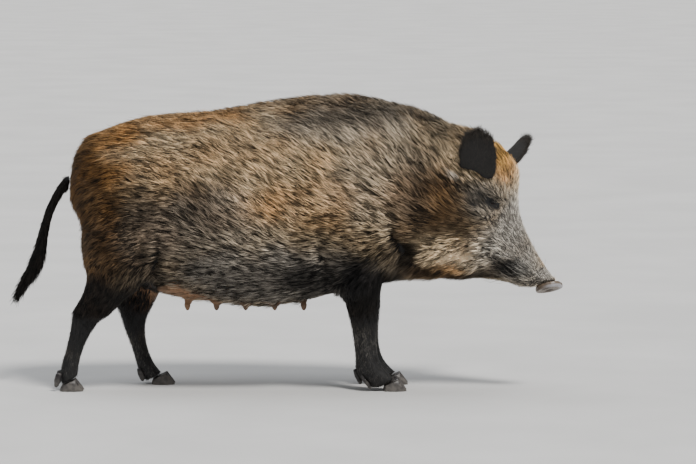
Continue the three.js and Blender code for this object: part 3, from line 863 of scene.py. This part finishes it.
def marks_in(paint):
    """The amount of each kind of marking, as a material reads it."""
    return dict(zip(KINDS, paint.values("marks_a") + paint.values("marks_b")))


def hair_paint(name, root_end, tip_start, darkest, lightest):
    """The coat's material: markings, root to tip, and a tone for each tuft and lock."""
    paint = Paint(name)
    marks = marks_in(paint)
    along, tuft_tone, lock_tone = paint.values("tuft")
    tip, root = HAIR_TIP, HAIR_ROOT
    for kind, (tip_colour, root_colour) in MARKED_HAIR.items():
        tip = paint.mix(tip, tip_colour, marks[kind])
        root = paint.mix(root, root_colour, marks[kind])
    reach = paint.ramp(along + (lock_tone - 0.5) * 0.5, (root_end, 0.0), (tip_start, 1.0))
    tone = darkest + (lightest - darkest) * (0.75 * lock_tone ** 1.3 + 0.25 * tuft_tone)
    paint.set(
        Base_Color=paint.shade(paint.mix(root, tip, reach), tone), Roughness=0.5, Specular_IOR_Level=0.20)
    return paint


# Where the root's colour ends and the tip's starts, as shares of the length, then the range of tones.
coat_paint = hair_paint("bristles", 0.30, 0.90, 0.02, 0.60)
guard_paint = hair_paint("guard_hairs", 0.20, 0.70, 0.04, 1.55)
short_paint = hair_paint("short_bristles", 0.0, 0.5, 0.15, 1.25)
print("hair tip colour:", [round(value, 3) for value in HAIR_TIP])

# %% [markdown]
# ## Growing tufts
# A tuft is a thin three-sided blade that narrows to a point. Its root sits a little under the skin and
# its spine rises out of it, then lies back along the chart's direction. Neighbouring tufts lean
# together at their tips, which makes the locks and the dark partings between them. All tufts of a
# region are one mesh built from arrays, which takes seconds where an operator for each would take
# hours.


# %% Places for the roots
SPARSEST = 0.01  # below this density a face grows nothing


class Patch:
    """Part of a piece's surface, unwrapped, on which tufts can be planted."""

    def __init__(self, piece, keep=None):
        mesh = piece.data
        mesh.calc_loop_triangles()
        corners = np.empty(len(mesh.loop_triangles) * 3, dtype=np.int32)
        mesh.loop_triangles.foreach_get("vertices", corners)
        corners = corners.reshape(-1, 3)
        points, normals = points_of(piece), normals_of(piece)
        density = np.ones(len(corners)) if keep is None else keep(points)[corners].mean(axis=1)
        kept = density > SPARSEST
        corners, self.density = corners[kept], density[kept]
        used, local = np.unique(corners, return_inverse=True)
        self.corners = local.reshape(-1, 3)
        self.points, self.normals = points[used], normals[used]
        self.unwrap()

    def unwrap(self):
        """Unwraps the patch's own shape, and keeps the unwrap's coordinates."""
        mesh = bpy.data.meshes.new("patch")
        mesh.from_pydata(self.points.tolist(), [], self.corners.tolist())
        piece = bpy.data.objects.new("patch", mesh)
        bpy.context.collection.objects.link(piece)
        select_only(piece)
        bpy.ops.object.mode_set(mode="EDIT")
        bpy.ops.mesh.select_all(action="SELECT")
        bpy.ops.uv.smart_project(angle_limit=math.radians(66), island_margin=0.01)
        bpy.ops.object.mode_set(mode="OBJECT")
        flat = np.empty(len(mesh.loops) * 2)
        mesh.uv_layers[0].data.foreach_get("uv", flat)
        self.flat = flat.reshape(-1, 3, 2)
        bpy.data.objects.remove(piece)
        bpy.data.meshes.remove(mesh)

    def scatter(self, count, rng):
        """Roots spread evenly by area: their places, normals and places on the unwrap."""
        a, b, c = (self.points[self.corners[:, k]] for k in range(3))
        areas = np.linalg.norm(np.cross(b - a, c - a), axis=1) * self.density
        steps = np.cumsum(areas) / areas.sum()
        which = np.searchsorted(steps, (np.arange(count) + rng.random(count)) / count)
        which = np.minimum(which, len(areas) - 1)
        u, v = rng.random((2, count))
        over = u + v > 1
        u[over], v[over] = 1 - u[over], 1 - v[over]
        shares = np.stack([1 - u - v, u, v], axis=1)[:, :, None]
        roots = (self.points[self.corners[which]] * shares).sum(axis=1)
        normals = (self.normals[self.corners[which]] * shares).sum(axis=1)
        normals /= np.linalg.norm(normals, axis=1, keepdims=True)
        return roots, normals, (self.flat[which] * shares).sum(axis=1)


# %% The shape of one tuft
def tuft_faces(shape):
    """Triangles of a closed three-sided blade. A station of no width is a point, any other a ring."""
    faces, first = [], 0
    if shape[0][1]:
        faces.append((2, 1, 0))
    for (_, width), (_, next_width) in zip(shape, shape[1:]):
        following = first + (3 if width else 1)
        for corner in range(3):
            a, b = (first + corner, first + (corner + 1) % 3) if width else (first, first)
            c, d = (following + corner, following + (corner + 1) % 3) if next_width else (following,) * 2
            if width:
                faces.append((a, b, d))
            if next_width:
                faces.append((a, d, c))
        first = following
    return np.array(faces)


# Places along the spine and the share of the tuft's width there.
LOCK = ((0.0, 0.0), (0.32, 0.9), (0.68, 1.0), (1.0, 0.0))
GUARD = ((0.0, 0.0), (0.5, 1.0), (1.0, 0.0))
SPIKE = ((0.0, 1.0), (1.0, 0.0))
CORNER_ANGLES = np.radians([90, 210, 330])
BLADE_THICK = 0.45  # height of the blade's section, against that of an even triangle
ROOT_DEPTH = 0.0015  # how far under the skin a tuft starts
TUFT_ON_UNWRAP = 0.003  # size of one tuft's own unwrap, as a share of the whole
for label, shape in (("lock", LOCK), ("guard hair", GUARD), ("spike", SPIKE)):
    print("triangles in a", label + ":", len(tuft_faces(shape)))


# %% Leaning tufts together
def nearest_of(centres, roots):
    """For each root, which of the centres is nearest."""
    tree = kdtree.KDTree(len(centres))
    for index, centre in enumerate(centres):
        tree.insert(centre, index)
    tree.balance()
    return np.array([tree.find(root)[1] for root in roots])


def turned(vectors, axes, angles):
    """Vectors turned about axes at right angles to them."""
    return vectors * np.cos(angles)[:, None] + np.cross(axes, vectors) * np.sin(angles)[:, None]


def unit(vectors):
    return vectors / np.maximum(np.linalg.norm(vectors, axis=1, keepdims=True), 1e-9)


def along_surface(flow, normals):
    return unit(flow - (flow * normals).sum(axis=1, keepdims=True) * normals)


# %% Where a region's tufts go
SWIRL, SWIRL_GRAIN = 0.25, 1.7  # how far, in radians, the lie wanders from the chart, and how often
LENGTHS, HEIGHTS = (0.75, 1.15), (0.6, 1.15)  # least and most, as shares of what the chart says
TONES = (0.10, 0.86)  # draws below the first are the darkest tone, draws above the second the lightest


class Tufts:
    """Roots, directions and sizes of tufts that have no shape yet. They stray from the lie by an angle,
    long and rise stretch the chart's length and depth, and sway bends them sideways."""

    def __init__(self, patch, count, rng, groom, stray, long=1.0, rise=0.85, sway=0.07):
        self.roots, self.normals, self.flat = patch.scatter(count, rng)
        flow, length, depth = groom(self.roots)
        swirl = SWIRL * fray_at(self.roots * SWIRL_GRAIN)[:, 0]
        ahead = along_surface(flow, self.normals)
        self.ahead = turned(ahead, self.normals, swirl + stray * rng.standard_normal(count))
        self.side = np.cross(self.normals, self.ahead)
        self.length = length * long * rng.uniform(*LENGTHS, count)
        self.height = depth * rise * rng.uniform(*HEIGHTS, count)
        self.bend = sway * self.length * rng.standard_normal(count)
        self.tone = smoothstep(*TONES, rng.random(count))

    def spines(self, stops):
        """Rows of points from root to tip, at the given shares of the length. A spine leaves the skin
        steeply and flattens towards its tip."""
        rows = []
        for t in stops:
            lift = self.height * (1.7 * t - 0.7 * t * t) - ROOT_DEPTH * (1 - t)
            bow = self.bend * math.sin(math.pi * t)
            rows.append(self.roots + self.ahead * (self.length * t)[:, None]
                        + self.normals * lift[:, None] + self.side * bow[:, None])
        return np.stack(rows, axis=1)


# %% Growing a region's tufts
ROOT_SEEDS = {"body": 1, "crest": 11, "ears": 12, "face": 21}  # starts of the draws that place roots
WIDTH_SEEDS = {  # starts of the draws for widths and tones
    "locks": 41, "guards": 51, "crest": 61, "short": 62, "ear": 63, "tail": 64, "jowl": 65, "long": 66}
DRAWN_IN = 0.6  # how far distances along the lie are squeezed when the nearest leader is sought
FULL_WIDTH_LENGTH = 0.018  # tufts shorter than this are narrower too


def drawn_in(points, lie):
    """The points squeezed along the lie, so that the tufts gathered together form long narrow groups."""
    return points - DRAWN_IN * (points @ lie)[:, None] * lie


def grow(name, tufts, seed, gather=(), shape=LOCK, width=0.0026, marks=marks_at, paint=coat_paint):
    """Makes one piece of some tufts. Each entry of gather has leading tufts, the share by which the
    nearest of them draws a tuft's tip to its own, and the share of its tone that it hands on."""
    rng = np.random.default_rng(seed)
    stops = np.array([place for place, _ in shape])
    spines = tufts.spines(stops)
    lock_tone = tufts.tone
    for leaders, share, tone_share in gather:
        lie = leaders.ahead.mean(axis=0)
        lie /= np.linalg.norm(lie)
        mine = nearest_of(drawn_in(leaders.roots, lie), drawn_in(tufts.roots, lie))
        spines += (share * stops**1.3)[None, :, None] * (leaders.spines(stops)[mine] - spines)
        lock_tone = lock_tone + tone_share * (leaders.tone[mine] - lock_tone)
    fullness = np.clip(tufts.length / FULL_WIDTH_LENGTH, 0.6, 1)
    widths = width * rng.uniform(0.7, 1.3, len(tufts.roots)) * fullness
    tuft_tone = rng.random(len(widths))
    piece, along = build_tufts(name, shape, spines, tufts, widths)
    tones = np.stack(np.broadcast_arrays(along[None, :], tuft_tone[:, None], lock_tone[:, None]), axis=2)
    layer = piece.data.attributes.new("tuft", "FLOAT_VECTOR", "POINT")
    layer.data.foreach_set("vector", tones.ravel().astype(np.float32))
    carry_marks(piece, np.repeat(marks(tufts.roots), len(along), axis=0))
    wear(piece, paint)
    print(f"{name}: {len(widths)} tufts, {len(piece.data.polygons)} triangles")


def build_tufts(name, shape, spines, tufts, widths):
    """Turns spines into blades with an unwrap. Also gives each point's place along its tuft."""
    across, above = np.cos(CORNER_ANGLES), np.sin(CORNER_ANGLES) * BLADE_THICK
    blade = tufts.side[:, None, :] * across[None, :, None] + tufts.normals[:, None, :] * above[None, :, None]
    blade *= widths[:, None, None] / 2
    points, along, spread = [], [], []
    for k, (place, wide) in enumerate(shape):
        points.append(spines[:, k, None, :] + (blade * wide if wide else 0 * blade[:, :1]))
        along += [place] * (3 if wide else 1)
        spread += [-0.5, 0.0, 0.5] if wide else [0.0]
    points, along = np.concatenate(points, axis=1), np.array(along)
    count, per_tuft = points.shape[:2]
    faces = (tuft_faces(shape)[None] + per_tuft * np.arange(count)[:, None, None]).reshape(-1, 3)

    mesh = bpy.data.meshes.new(name)
    mesh.vertices.add(count * per_tuft)
    mesh.vertices.foreach_set("co", points.ravel())
    mesh.loops.add(faces.size)
    mesh.loops.foreach_set("vertex_index", faces.ravel().astype(np.int32))
    mesh.polygons.add(len(faces))
    mesh.polygons.foreach_set("loop_start", np.arange(0, faces.size, 3, dtype=np.int32))
    mesh.update(calc_edges=True)
    mesh.shade_smooth()
    piece = bpy.data.objects.new(name, mesh)
    bpy.context.collection.objects.link(piece)

    place = np.stack([np.array(spread), along - 0.5], axis=1) * TUFT_ON_UNWRAP
    laid = (tufts.flat[:, None, :] + place[None]).reshape(-1, 2)
    mesh.uv_layers.new(name="OFBake").data.foreach_set("uv", laid[faces.ravel()].ravel())
    return piece, along


# %% [markdown]
# ## The coat, region by region
# One mesh for the whole coat would be too large to bake, so each part of the body grows its own. The
# body's tufts are long and curl. On the legs and face they are short bristles that break up the
# surface while the skin's own bump carries the finest hair.


# %% Where each region lies
def head_share(points):
    return share_of_head(points, -0.055, -0.015, 0.19, 0.24)


def leg_share(points):
    return 1 - smoothstep(0.20, 0.27, points[:, 2])


def bare_share(points):
    """The belly between the thighs, and the teats, where hardly a hair grows."""
    edge = 0.266 - 0.42 * np.clip(points[:, 0] + 0.25, 0, 1) + 0.012 * fray_at(points)[:, 0]
    groin = smoothstep(-0.345, -0.315, points[:, 0]) * smoothstep(edge, edge - 0.016, points[:, 2])
    groin *= smoothstep(0.17, 0.19, points[:, 2])
    return np.maximum(0.92 * groin, teat_share(points))


def trunk_slice(start, end):
    """Density of the body's tufts between two places along the back."""
    def keep(points):
        inside = (points[:, 0] >= start) & (points[:, 0] < end) & (points[:, 2] > 0.19)
        under = 1 - 0.6 * smoothstep(0.26, 0.20, points[:, 2])
        return inside * under * (1 - head_share(points)) * (1 - bare_share(points))
    return keep


def ridge(points):
    """The crest from the withers to the nape."""
    middle = -0.30 * np.maximum(points[:, 0] - 0.30, 0)
    near = 1 - smoothstep(0.02, 0.05, np.abs(points[:, 1] - middle))
    return near * smoothstep(0.54, 0.60, points[:, 2]) * smoothstep(-0.25, 0.0, points[:, 0])


def face(points):
    """The head's short coat, clear of the lids' opening."""
    local = to_head(points)
    clear = smoothstep(0.006, 0.014, np.hypot((local[:, 0] - LID[0]) * 0.6, local[:, 2] - LID[1]))
    return head_share(points) * clear * (0.45 + 0.55 * smoothstep(0.08, 0.18, local[:, 0]))


def lower_leg(points):
    return leg_share(points) * (points[:, 2] > 0.012) * (points[:, 2] < 0.27) * (1 - bare_share(points))


# %% Body tufts
SLICES = {"rump": (-1.0, -0.40), "hams": (-0.40, -0.25), "loin": (-0.25, -0.09), "ribs": (-0.09, 0.07),
          "shoulders": (0.07, 0.23), "neck": (0.23, 1.0)}
LOCKS, GUARDS, LEADERS, SWATHS = 7900, 12900, 4600, 150  # tufts of each sort in a slice

for number, (region, (start, end)) in enumerate(SLICES.items()):
    patch = Patch(skin, trunk_slice(start, end))
    rng = np.random.default_rng(ROOT_SEEDS["body"] + number)
    gather = ((Tufts(patch, SWATHS, rng, groomed, 0.16), 0.15, 0.0),
              (Tufts(patch, LEADERS, rng, groomed, 0.14, long=1.4, sway=0.10), 0.60, 0.85))
    grow(f"coat_{region}_locks", Tufts(patch, LOCKS, rng, groomed, 0.10, long=1.2, rise=0.8),
         WIDTH_SEEDS["locks"] + number, gather, width=0.0022)
    grow(f"coat_{region}_guards", Tufts(patch, GUARDS, rng, groomed, 0.14, long=1.35, rise=1.15),
         WIDTH_SEEDS["guards"] + number, gather, GUARD, width=0.0015, paint=guard_paint)

rng = np.random.default_rng(ROOT_SEEDS["crest"])
patch = Patch(skin, ridge)
gather = ((Tufts(patch, 500, rng, groomed, 0.22, rise=1.3), 0.4, 0.7),)
grow("coat_crest", Tufts(patch, 4000, rng, groomed, 0.2, rise=1.2), WIDTH_SEEDS["crest"], gather)


# %% Jowl, stray hairs and whiskers
def jowl(points):
    """The long fringe at the corner of the jaw."""
    places, _ = side_view(points)
    out = np.hypot((places[:, 0] - 0.415) / 0.085, (places[:, 2] - 0.325) / 0.042)
    return 1 - smoothstep(0.5, 1.2, out)


def muzzle_whiskers(points):
    local = to_head(points)
    sides_only = smoothstep(0.012, 0.03, np.abs(local[:, 1]))
    return smoothstep(0.13, 0.17, local[:, 0]) * sides_only * (points[:, 2] > 0.2)


def brow(points):
    local = to_head(points)
    out = np.hypot((local[:, 0] - 0.018) / 0.030, (local[:, 2] - 0.044) / 0.009)
    return ((out < 1) & (local[:, 0] > -0.02)).astype(float)


def topline(points):
    return smoothstep(0.50, 0.58, points[:, 2])


rng = np.random.default_rng(ROOT_SEEDS["face"])
patch = Patch(skin, jowl)
gather = ((Tufts(patch, 900, rng, groomed, 0.20, long=1.3, rise=1.3), 0.6, 0.85),)
grow("coat_jowl", Tufts(patch, 4200, rng, groomed, 0.12, long=1.25, rise=1.25), WIDTH_SEEDS["jowl"],
     gather, width=0.0018, paint=guard_paint)

LONG_HAIRS = (  # name, where, how many, length and height against the coat's, width
    ("whiskers", muzzle_whiskers, 220, 3.2, 4.0, 0.0008),
    ("brow_hairs", brow, 260, 1.6, 1.6, 0.0009),
    ("stray_hairs", topline, 900, 1.3, 1.4, 0.0010),
)
for name, share, count, long, rise, wide in LONG_HAIRS:
    hairs = Tufts(Patch(skin, share), count, rng, groomed, 0.30, long=long, rise=rise, sway=0.1)
    grow(name, hairs, WIDTH_SEEDS["long"], width=wide, paint=short_paint)

# %% Short coat on the head and legs
SHORT_WIDTH = 0.0014
SHORT_COAT = (  # region, where, how many tufts and leaders, slot
    ("head", face, 42000, 6000, "face_hair"),
    ("legs", lower_leg, 22000, 4000, "dark_hair"),
)
for region, share, count, leaders, slot in SHORT_COAT:
    patch = Patch(skin, share)
    gather = ((Tufts(patch, leaders, rng, groomed, 0.15), 0.4, 0.7),)
    grow("coat_" + region, Tufts(patch, count, rng, groomed, 0.15), WIDTH_SEEDS["short"], gather,
         SPIKE, SHORT_WIDTH, paint=short_paint)

# %% [markdown]
# ## Skin, seen between the hairs
# The skin is nearly hidden on the body, where it is the dark of the undercoat, and bare under the
# belly and between the legs. A fine bump stands for the shortest hair.

# %% Skin material
skin_paint = Paint("skin_and_underfur")
marks = marks_in(skin_paint)
under = HAIR_ROOT
for kind, (_, root_colour) in MARKED_HAIR.items():
    under = skin_paint.mix(under, root_colour, marks[kind])
under = skin_paint.mix(under, BARE_SKIN, marks["bare"])
mottle = skin_paint.ramp(skin_paint.noise(220, 4.0), (0.3, 0.6), (0.7, 1.25))
skin_paint.set(
    Base_Color=skin_paint.shade(under, mottle), Roughness=0.7,
    Normal=skin_paint.bump(skin_paint.noise(900, 2.0), 0.5, 0.0006))
carry_marks(skin, marks_at(points_of(skin)))
skin.data.shade_smooth()
wear(skin, skin_paint)
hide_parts(*FLESH)

# %% [markdown]
# ## Eyes
# A boar's eye is small and dark. The ball is a smooth sphere, and its colours depend on how far a place
# is from the middle of the pupil. Rings cut into the ball would give the same circles, but a ramp over
# the distance can also blur them a little, as they are in life.

# %% Eyes
GAZE = Vector((0.30, 1.0, 0.05)).normalized()  # where the left eye looks, in the head's frame

for name, side in SIDES:
    gaze = HEAD_TURN @ Vector((GAZE.x, side * GAZE.y, GAZE.z))
    middle = middle_of("eye_" + name)
    pupil = middle + gaze * EYEBALL_RADIUS
    bpy.ops.object.select_all(action="DESELECT")
    bpy.ops.mesh.primitive_uv_sphere_add(segments=48, ring_count=32, radius=EYEBALL_RADIUS)
    ball = bpy.context.object
    ball.name = "eyeball_" + name
    ball.data.transform(Matrix.Translation(middle) @ gaze.to_track_quat("Z", "Y").to_matrix().to_4x4())
    ball.data.shade_smooth()
    paint = Paint("eye_" + name)
    far = paint.node(
        "ShaderNodeVectorMath", {"operation": "DISTANCE"}, {0: paint.place(), 1: tuple(pupil)}, out=1)
    centimetres = far * 100
    iris = paint.mix(tint(8, 6, 6), tint(30, 18, 13), paint.ramp(centimetres, (0.30, 0.0), (0.36, 1.0)))
    eye_colour = paint.mix(iris, tint(26, 21, 20), paint.ramp(centimetres, (0.72, 0.0), (0.80, 1.0)))
    paint.set(Base_Color=eye_colour, Roughness=0.12, Specular_IOR_Level=0.35)
    wear(ball, paint)
    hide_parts("eye_" + name)
print("eyeballs are", 2000 * EYEBALL_RADIUS, "mm across")

# %% [markdown]
# ## Ears, tail, snout disc and claws
# These start as remeshed copies of their solids, so they keep size and place, and are relaxed until
# smooth. Each could also be modelled anew from a plane or a cylinder, but would then have to be fitted
# to its solid again. The ears are leaves of gristle. Their outline is rounded out, and their hair fans
# from the root and is longest on the rim. The tail is a thin rope of skin that ends in a dark brush.


# %% Smooth copies of single pieces
def smooth_copy(name, nodes, grain, rounds):
    """A remeshed copy of some nodes that takes their place. The grain is the size of its cells."""
    piece = copy_of(nodes, name)
    apply_modifier(piece, "REMESH", mode="VOXEL", voxel_size=grain)
    relax(piece, np.full(len(piece.data.vertices), 0.5), rounds)
    piece.data.shade_smooth()
    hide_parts(*nodes)
    return piece


# %% Ears
EARS = {  # root, tip and the direction across, in the head's frame
    "right": ((-0.042, -0.062, 0.034), (-0.126, -0.088, 0.117), (0.7, 0.1, 0.7)),
    "left": ((-0.044, 0.062, 0.058), (-0.056, 0.108, 0.153), (0.42, -0.85, 0.35)),
}
EAR_HALF_WIDTH = 0.043
# The solid ear's outline: shares of the length, and shares of the half width there.
LEAF_PLACES, LEAF_WIDTHS = (-0.12, 0.12, 0.4, 0.68, 0.9, 1.05), (0.5, 0.82, 1.0, 0.86, 0.42, 0.15)
OVAL_MIDDLE, OVAL_HALF_LENGTH, OVAL_WIDER = 0.44, 0.62, 1.05  # the oval it is rounded out to
EAR_NAP, EAR_FRINGE = 0.009, 0.020  # length of the hair on the ear's back and on its rim


def along_ear(name, points):
    """Shares of the ear's length from the root, distances across it, and both directions."""
    root, tip, across = (np.array(HEAD_TURN) @ np.array(part) for part in EARS[name])
    out = points - np.array(HEAD_ORIGIN) - root
    axis = tip - root
    across = across - axis * (across @ axis) / (axis @ axis)
    across /= np.linalg.norm(across)
    return out @ axis / (axis @ axis), out @ across, axis, across


def ear_groom(name):
    """Hair that fans out from the ear's root, longest on its rim."""
    def groom(points):
        share, across, axis, edge = along_ear(name, points)
        spread = np.linalg.norm(axis)
        flow = unit(axis * (share + 0.35)[:, None] + edge * across[:, None])
        rim = smoothstep(0.5, 1.0, np.hypot(share - 0.35, across / spread * 1.2) / 0.62)
        return flow, EAR_NAP + (EAR_FRINGE - EAR_NAP) * rim, 0.002 + 0.003 * rim
    return groom


rng = np.random.default_rng(ROOT_SEEDS["ears"])
for name, _ in SIDES:
    ear = smooth_copy("ear_skin_" + name, ["ear_" + name], 0.0025, 10)
    points = points_of(ear)
    share, across, axis, edge = along_ear(name, points)
    leaf = EAR_HALF_WIDTH * np.interp(share, LEAF_PLACES, LEAF_WIDTHS)
    round_off = np.clip(1 - ((share - OVAL_MIDDLE) / OVAL_HALF_LENGTH) ** 2, 0.02, 1)
    oval = OVAL_WIDER * EAR_HALF_WIDTH * np.sqrt(round_off)
    points += edge * (across * (np.clip(oval / leaf, 0.8, 2.1) - 1))[:, None]
    set_points(ear, points)
    relax(ear, np.full(len(points), 0.5), 4)
    carry_marks(ear, all_black(points))
    wear(ear, skin_paint)
    hairs = Tufts(Patch(ear), 6000, rng, ear_groom(name), 0.2)
    grow("ear_hair_" + name, hairs, WIDTH_SEEDS["ear"], shape=SPIKE, width=0.0013, marks=all_black,
         paint=short_paint)

# %% Tail
TAIL_LIE = np.array([-0.43, 0, -0.90])  # down and back, as the tail hangs


def tail_groom(points):
    """Short hair at the tail's root, and a longer brush at its end."""
    flow = np.tile(TAIL_LIE, (len(points), 1))
    low = smoothstep(0.42, 0.30, points[:, 2])
    return flow, 0.017 + 0.026 * low, 0.002 + 0.003 * low


tail = smooth_copy("tail_skin", ["tail_dock", "tail_tuft"], 0.003, 6)
carry_marks(tail, all_black(points_of(tail)))
wear(tail, skin_paint)
grow("tail_hair", Tufts(Patch(tail), 4000, rng, tail_groom, 0.14), WIDTH_SEEDS["tail"],
     width=0.0016, marks=all_black)

# %% [markdown]
# ## The snout disc
# The disc is bare gristle with a rolled rim that is notched in the middle, and two nostrils. It is
# moist, so it shines. Its rim is pale, and paler towards its top, and the nostrils are painted dark for
# the shade inside them. Bells over its face raise the rim and sink the nostrils. Sculpting by hand
# would do too, but isn't repeated exactly.

# %% Shaping the disc
DISC_PLACE = Vector((0.244, 0.003, -0.017))  # in the head's frame
DISC_TURN = Matrix.Rotation(math.radians(26), 3, "Y") @ Matrix.Rotation(math.radians(-15), 3, "Z")
DISC_HALF, DISC_THICK = 0.0325, 0.013
NOSTRIL_OUT, NOSTRIL_UP = 0.014, -0.004
RIM_RISE, MIDDLE_DIP, NOSTRIL_DEPTH = 0.0022, 0.0018, 0.0035
FURROW_DEPTH, NOTCH_DEPTH = 0.00035, 0.0045


def nostrils(left, up, half_width, half_height):
    """1 in the middle of each nostril and fading round it."""
    beside, above = (np.abs(left) - NOSTRIL_OUT) / half_width, (up - NOSTRIL_UP) / half_height
    return np.exp(-beside ** 2 - above ** 2)


disc = smooth_copy("snout", ["snout_disc"], 0.0011, 3)
points = points_of(disc)
flat = (to_head(points) - np.array(DISC_PLACE)) @ np.array(DISC_TURN)  # ahead, left and up the disc
ahead, left, up = flat.T
out = np.hypot(left, up) / DISC_HALF
front = smoothstep(0.3 * DISC_THICK, 0.8 * DISC_THICK, ahead)
rim = bell(out, 0.86, 0.13)
notch = bell(left, 0, 0.005) * smoothstep(0.3, 0.9, up / DISC_HALF)
nostril = nostrils(left, up, 0.0065, 0.0090)
furrow = np.sin(left * 900 + 3 * np.sin(up * 260)) * np.sin(up * 700)
flat[:, 0] += front * (RIM_RISE * rim - MIDDLE_DIP * bell(out, 0, 0.35) - NOSTRIL_DEPTH * nostril)
flat[:, 0] += front * FURROW_DEPTH * furrow * (1 - rim)
flat[:, 2] -= NOTCH_DEPTH * notch
flat[:, 1:] *= (1 + 0.05 * rim * (ahead > 0.3 * DISC_THICK))[:, None]
shaped = flat @ np.array(DISC_TURN).T + np.array(DISC_PLACE)
set_points(disc, to_boar(shaped))

# %% Disc material
edge = smoothstep(0.35, 0.75, ahead / DISC_THICK) * smoothstep(0.66, 0.88, out)
# the rim's paleness, which grows towards the top of the disc
rim_paler_upwards = np.clip(edge * smoothstep(-0.4, 0.6, up / DISC_HALF), 0, 1)
# painted shade inside the nostrils
shadowed = np.clip(1.5 * nostrils(left, up, 0.0062, 0.0085) * front, 0, 1)
unused = np.zeros_like(front)
carry_marks(disc, np.stack([rim_paler_upwards, shadowed, unused, unused, unused, unused], axis=1))
disc_paint = Paint("snout_disc")
pale_rim, nostril_shade, _ = disc_paint.values("marks_a")
mottled = disc_paint.mix(tint(66, 57, 52), tint(118, 102, 84), disc_paint.noise(160, 4.0))
# the pale grey of the rim
rim_grey = disc_paint.mix(tint(120, 116, 118), tint(190, 188, 192), disc_paint.noise(120, 3.0))
colour = disc_paint.mix(mottled, rim_grey, pale_rim)
# painted shade darkens the nostrils
colour = disc_paint.mix(colour, tint(20, 18, 20), nostril_shade)
disc_paint.set(
    Base_Color=colour, Roughness=disc_paint.ramp(disc_paint.noise(240), (0.3, 0.22), (0.7, 0.5)),
    Normal=disc_paint.bump(disc_paint.noise(1100, 2.0), 0.35, 0.0005))
wear(disc, disc_paint)
print("disc is", round(2000 * DISC_HALF), "mm across")

# %% [markdown]
# ## Claws
# Each foot has two claws to stand on and two dewclaws behind. Horn grows downwards from the hair in
# faint rings, and its edge is scuffed paler by stones. The rings are far too fine to model, so they are
# a bump, and the scuffing is a noise that wins near the ground.

# %% Claws
RING_SPACING = 0.0045
SOLE = 0.0016  # a claw's points below this height lie on the floor

horn_paint = Paint("hoof_horn")
x, height = (
    horn_paint.node("ShaderNodeSeparateXYZ", {}, {0: horn_paint.place()}, out=axis) for axis in (0, 2))
rings = horn_paint.node(
    "ShaderNodeMath", {"operation": "SINE"},
    {0: (height + x * 0.5 + horn_paint.noise(60) * 0.006) * (2 * math.pi / RING_SPACING)})
scuff = horn_paint.ramp(horn_paint.noise(90, 5.0) - height * 9.0, (0.18, 0.0), (0.52, 1.0))
horn = horn_paint.mix(tint(30, 27, 29), tint(92, 88, 84), scuff)
horn_paint.set(
    Base_Color=horn, Roughness=horn_paint.ramp(scuff, (0.0, 0.38), (1.0, 0.7)),
    Normal=horn_paint.bump(rings * 0.12 + horn_paint.noise(260, 5.0), 0.6, 0.0008))
for leg in LEGS:
    for part in ("claw_outer", "claw_inner", "dewclaw_outer", "dewclaw_inner"):
        node = f"{leg}_{part}"
        claw = smooth_copy("horn_" + node, [node], 0.0016, 4)
        if not part.startswith("dew"):
            points = points_of(claw)
            points[:, 2] = np.where(points[:, 2] < SOLE, 0, points[:, 2])
            set_points(claw, points)
        wear(claw, horn_paint)
print("claws:", 4 * len(LEGS))
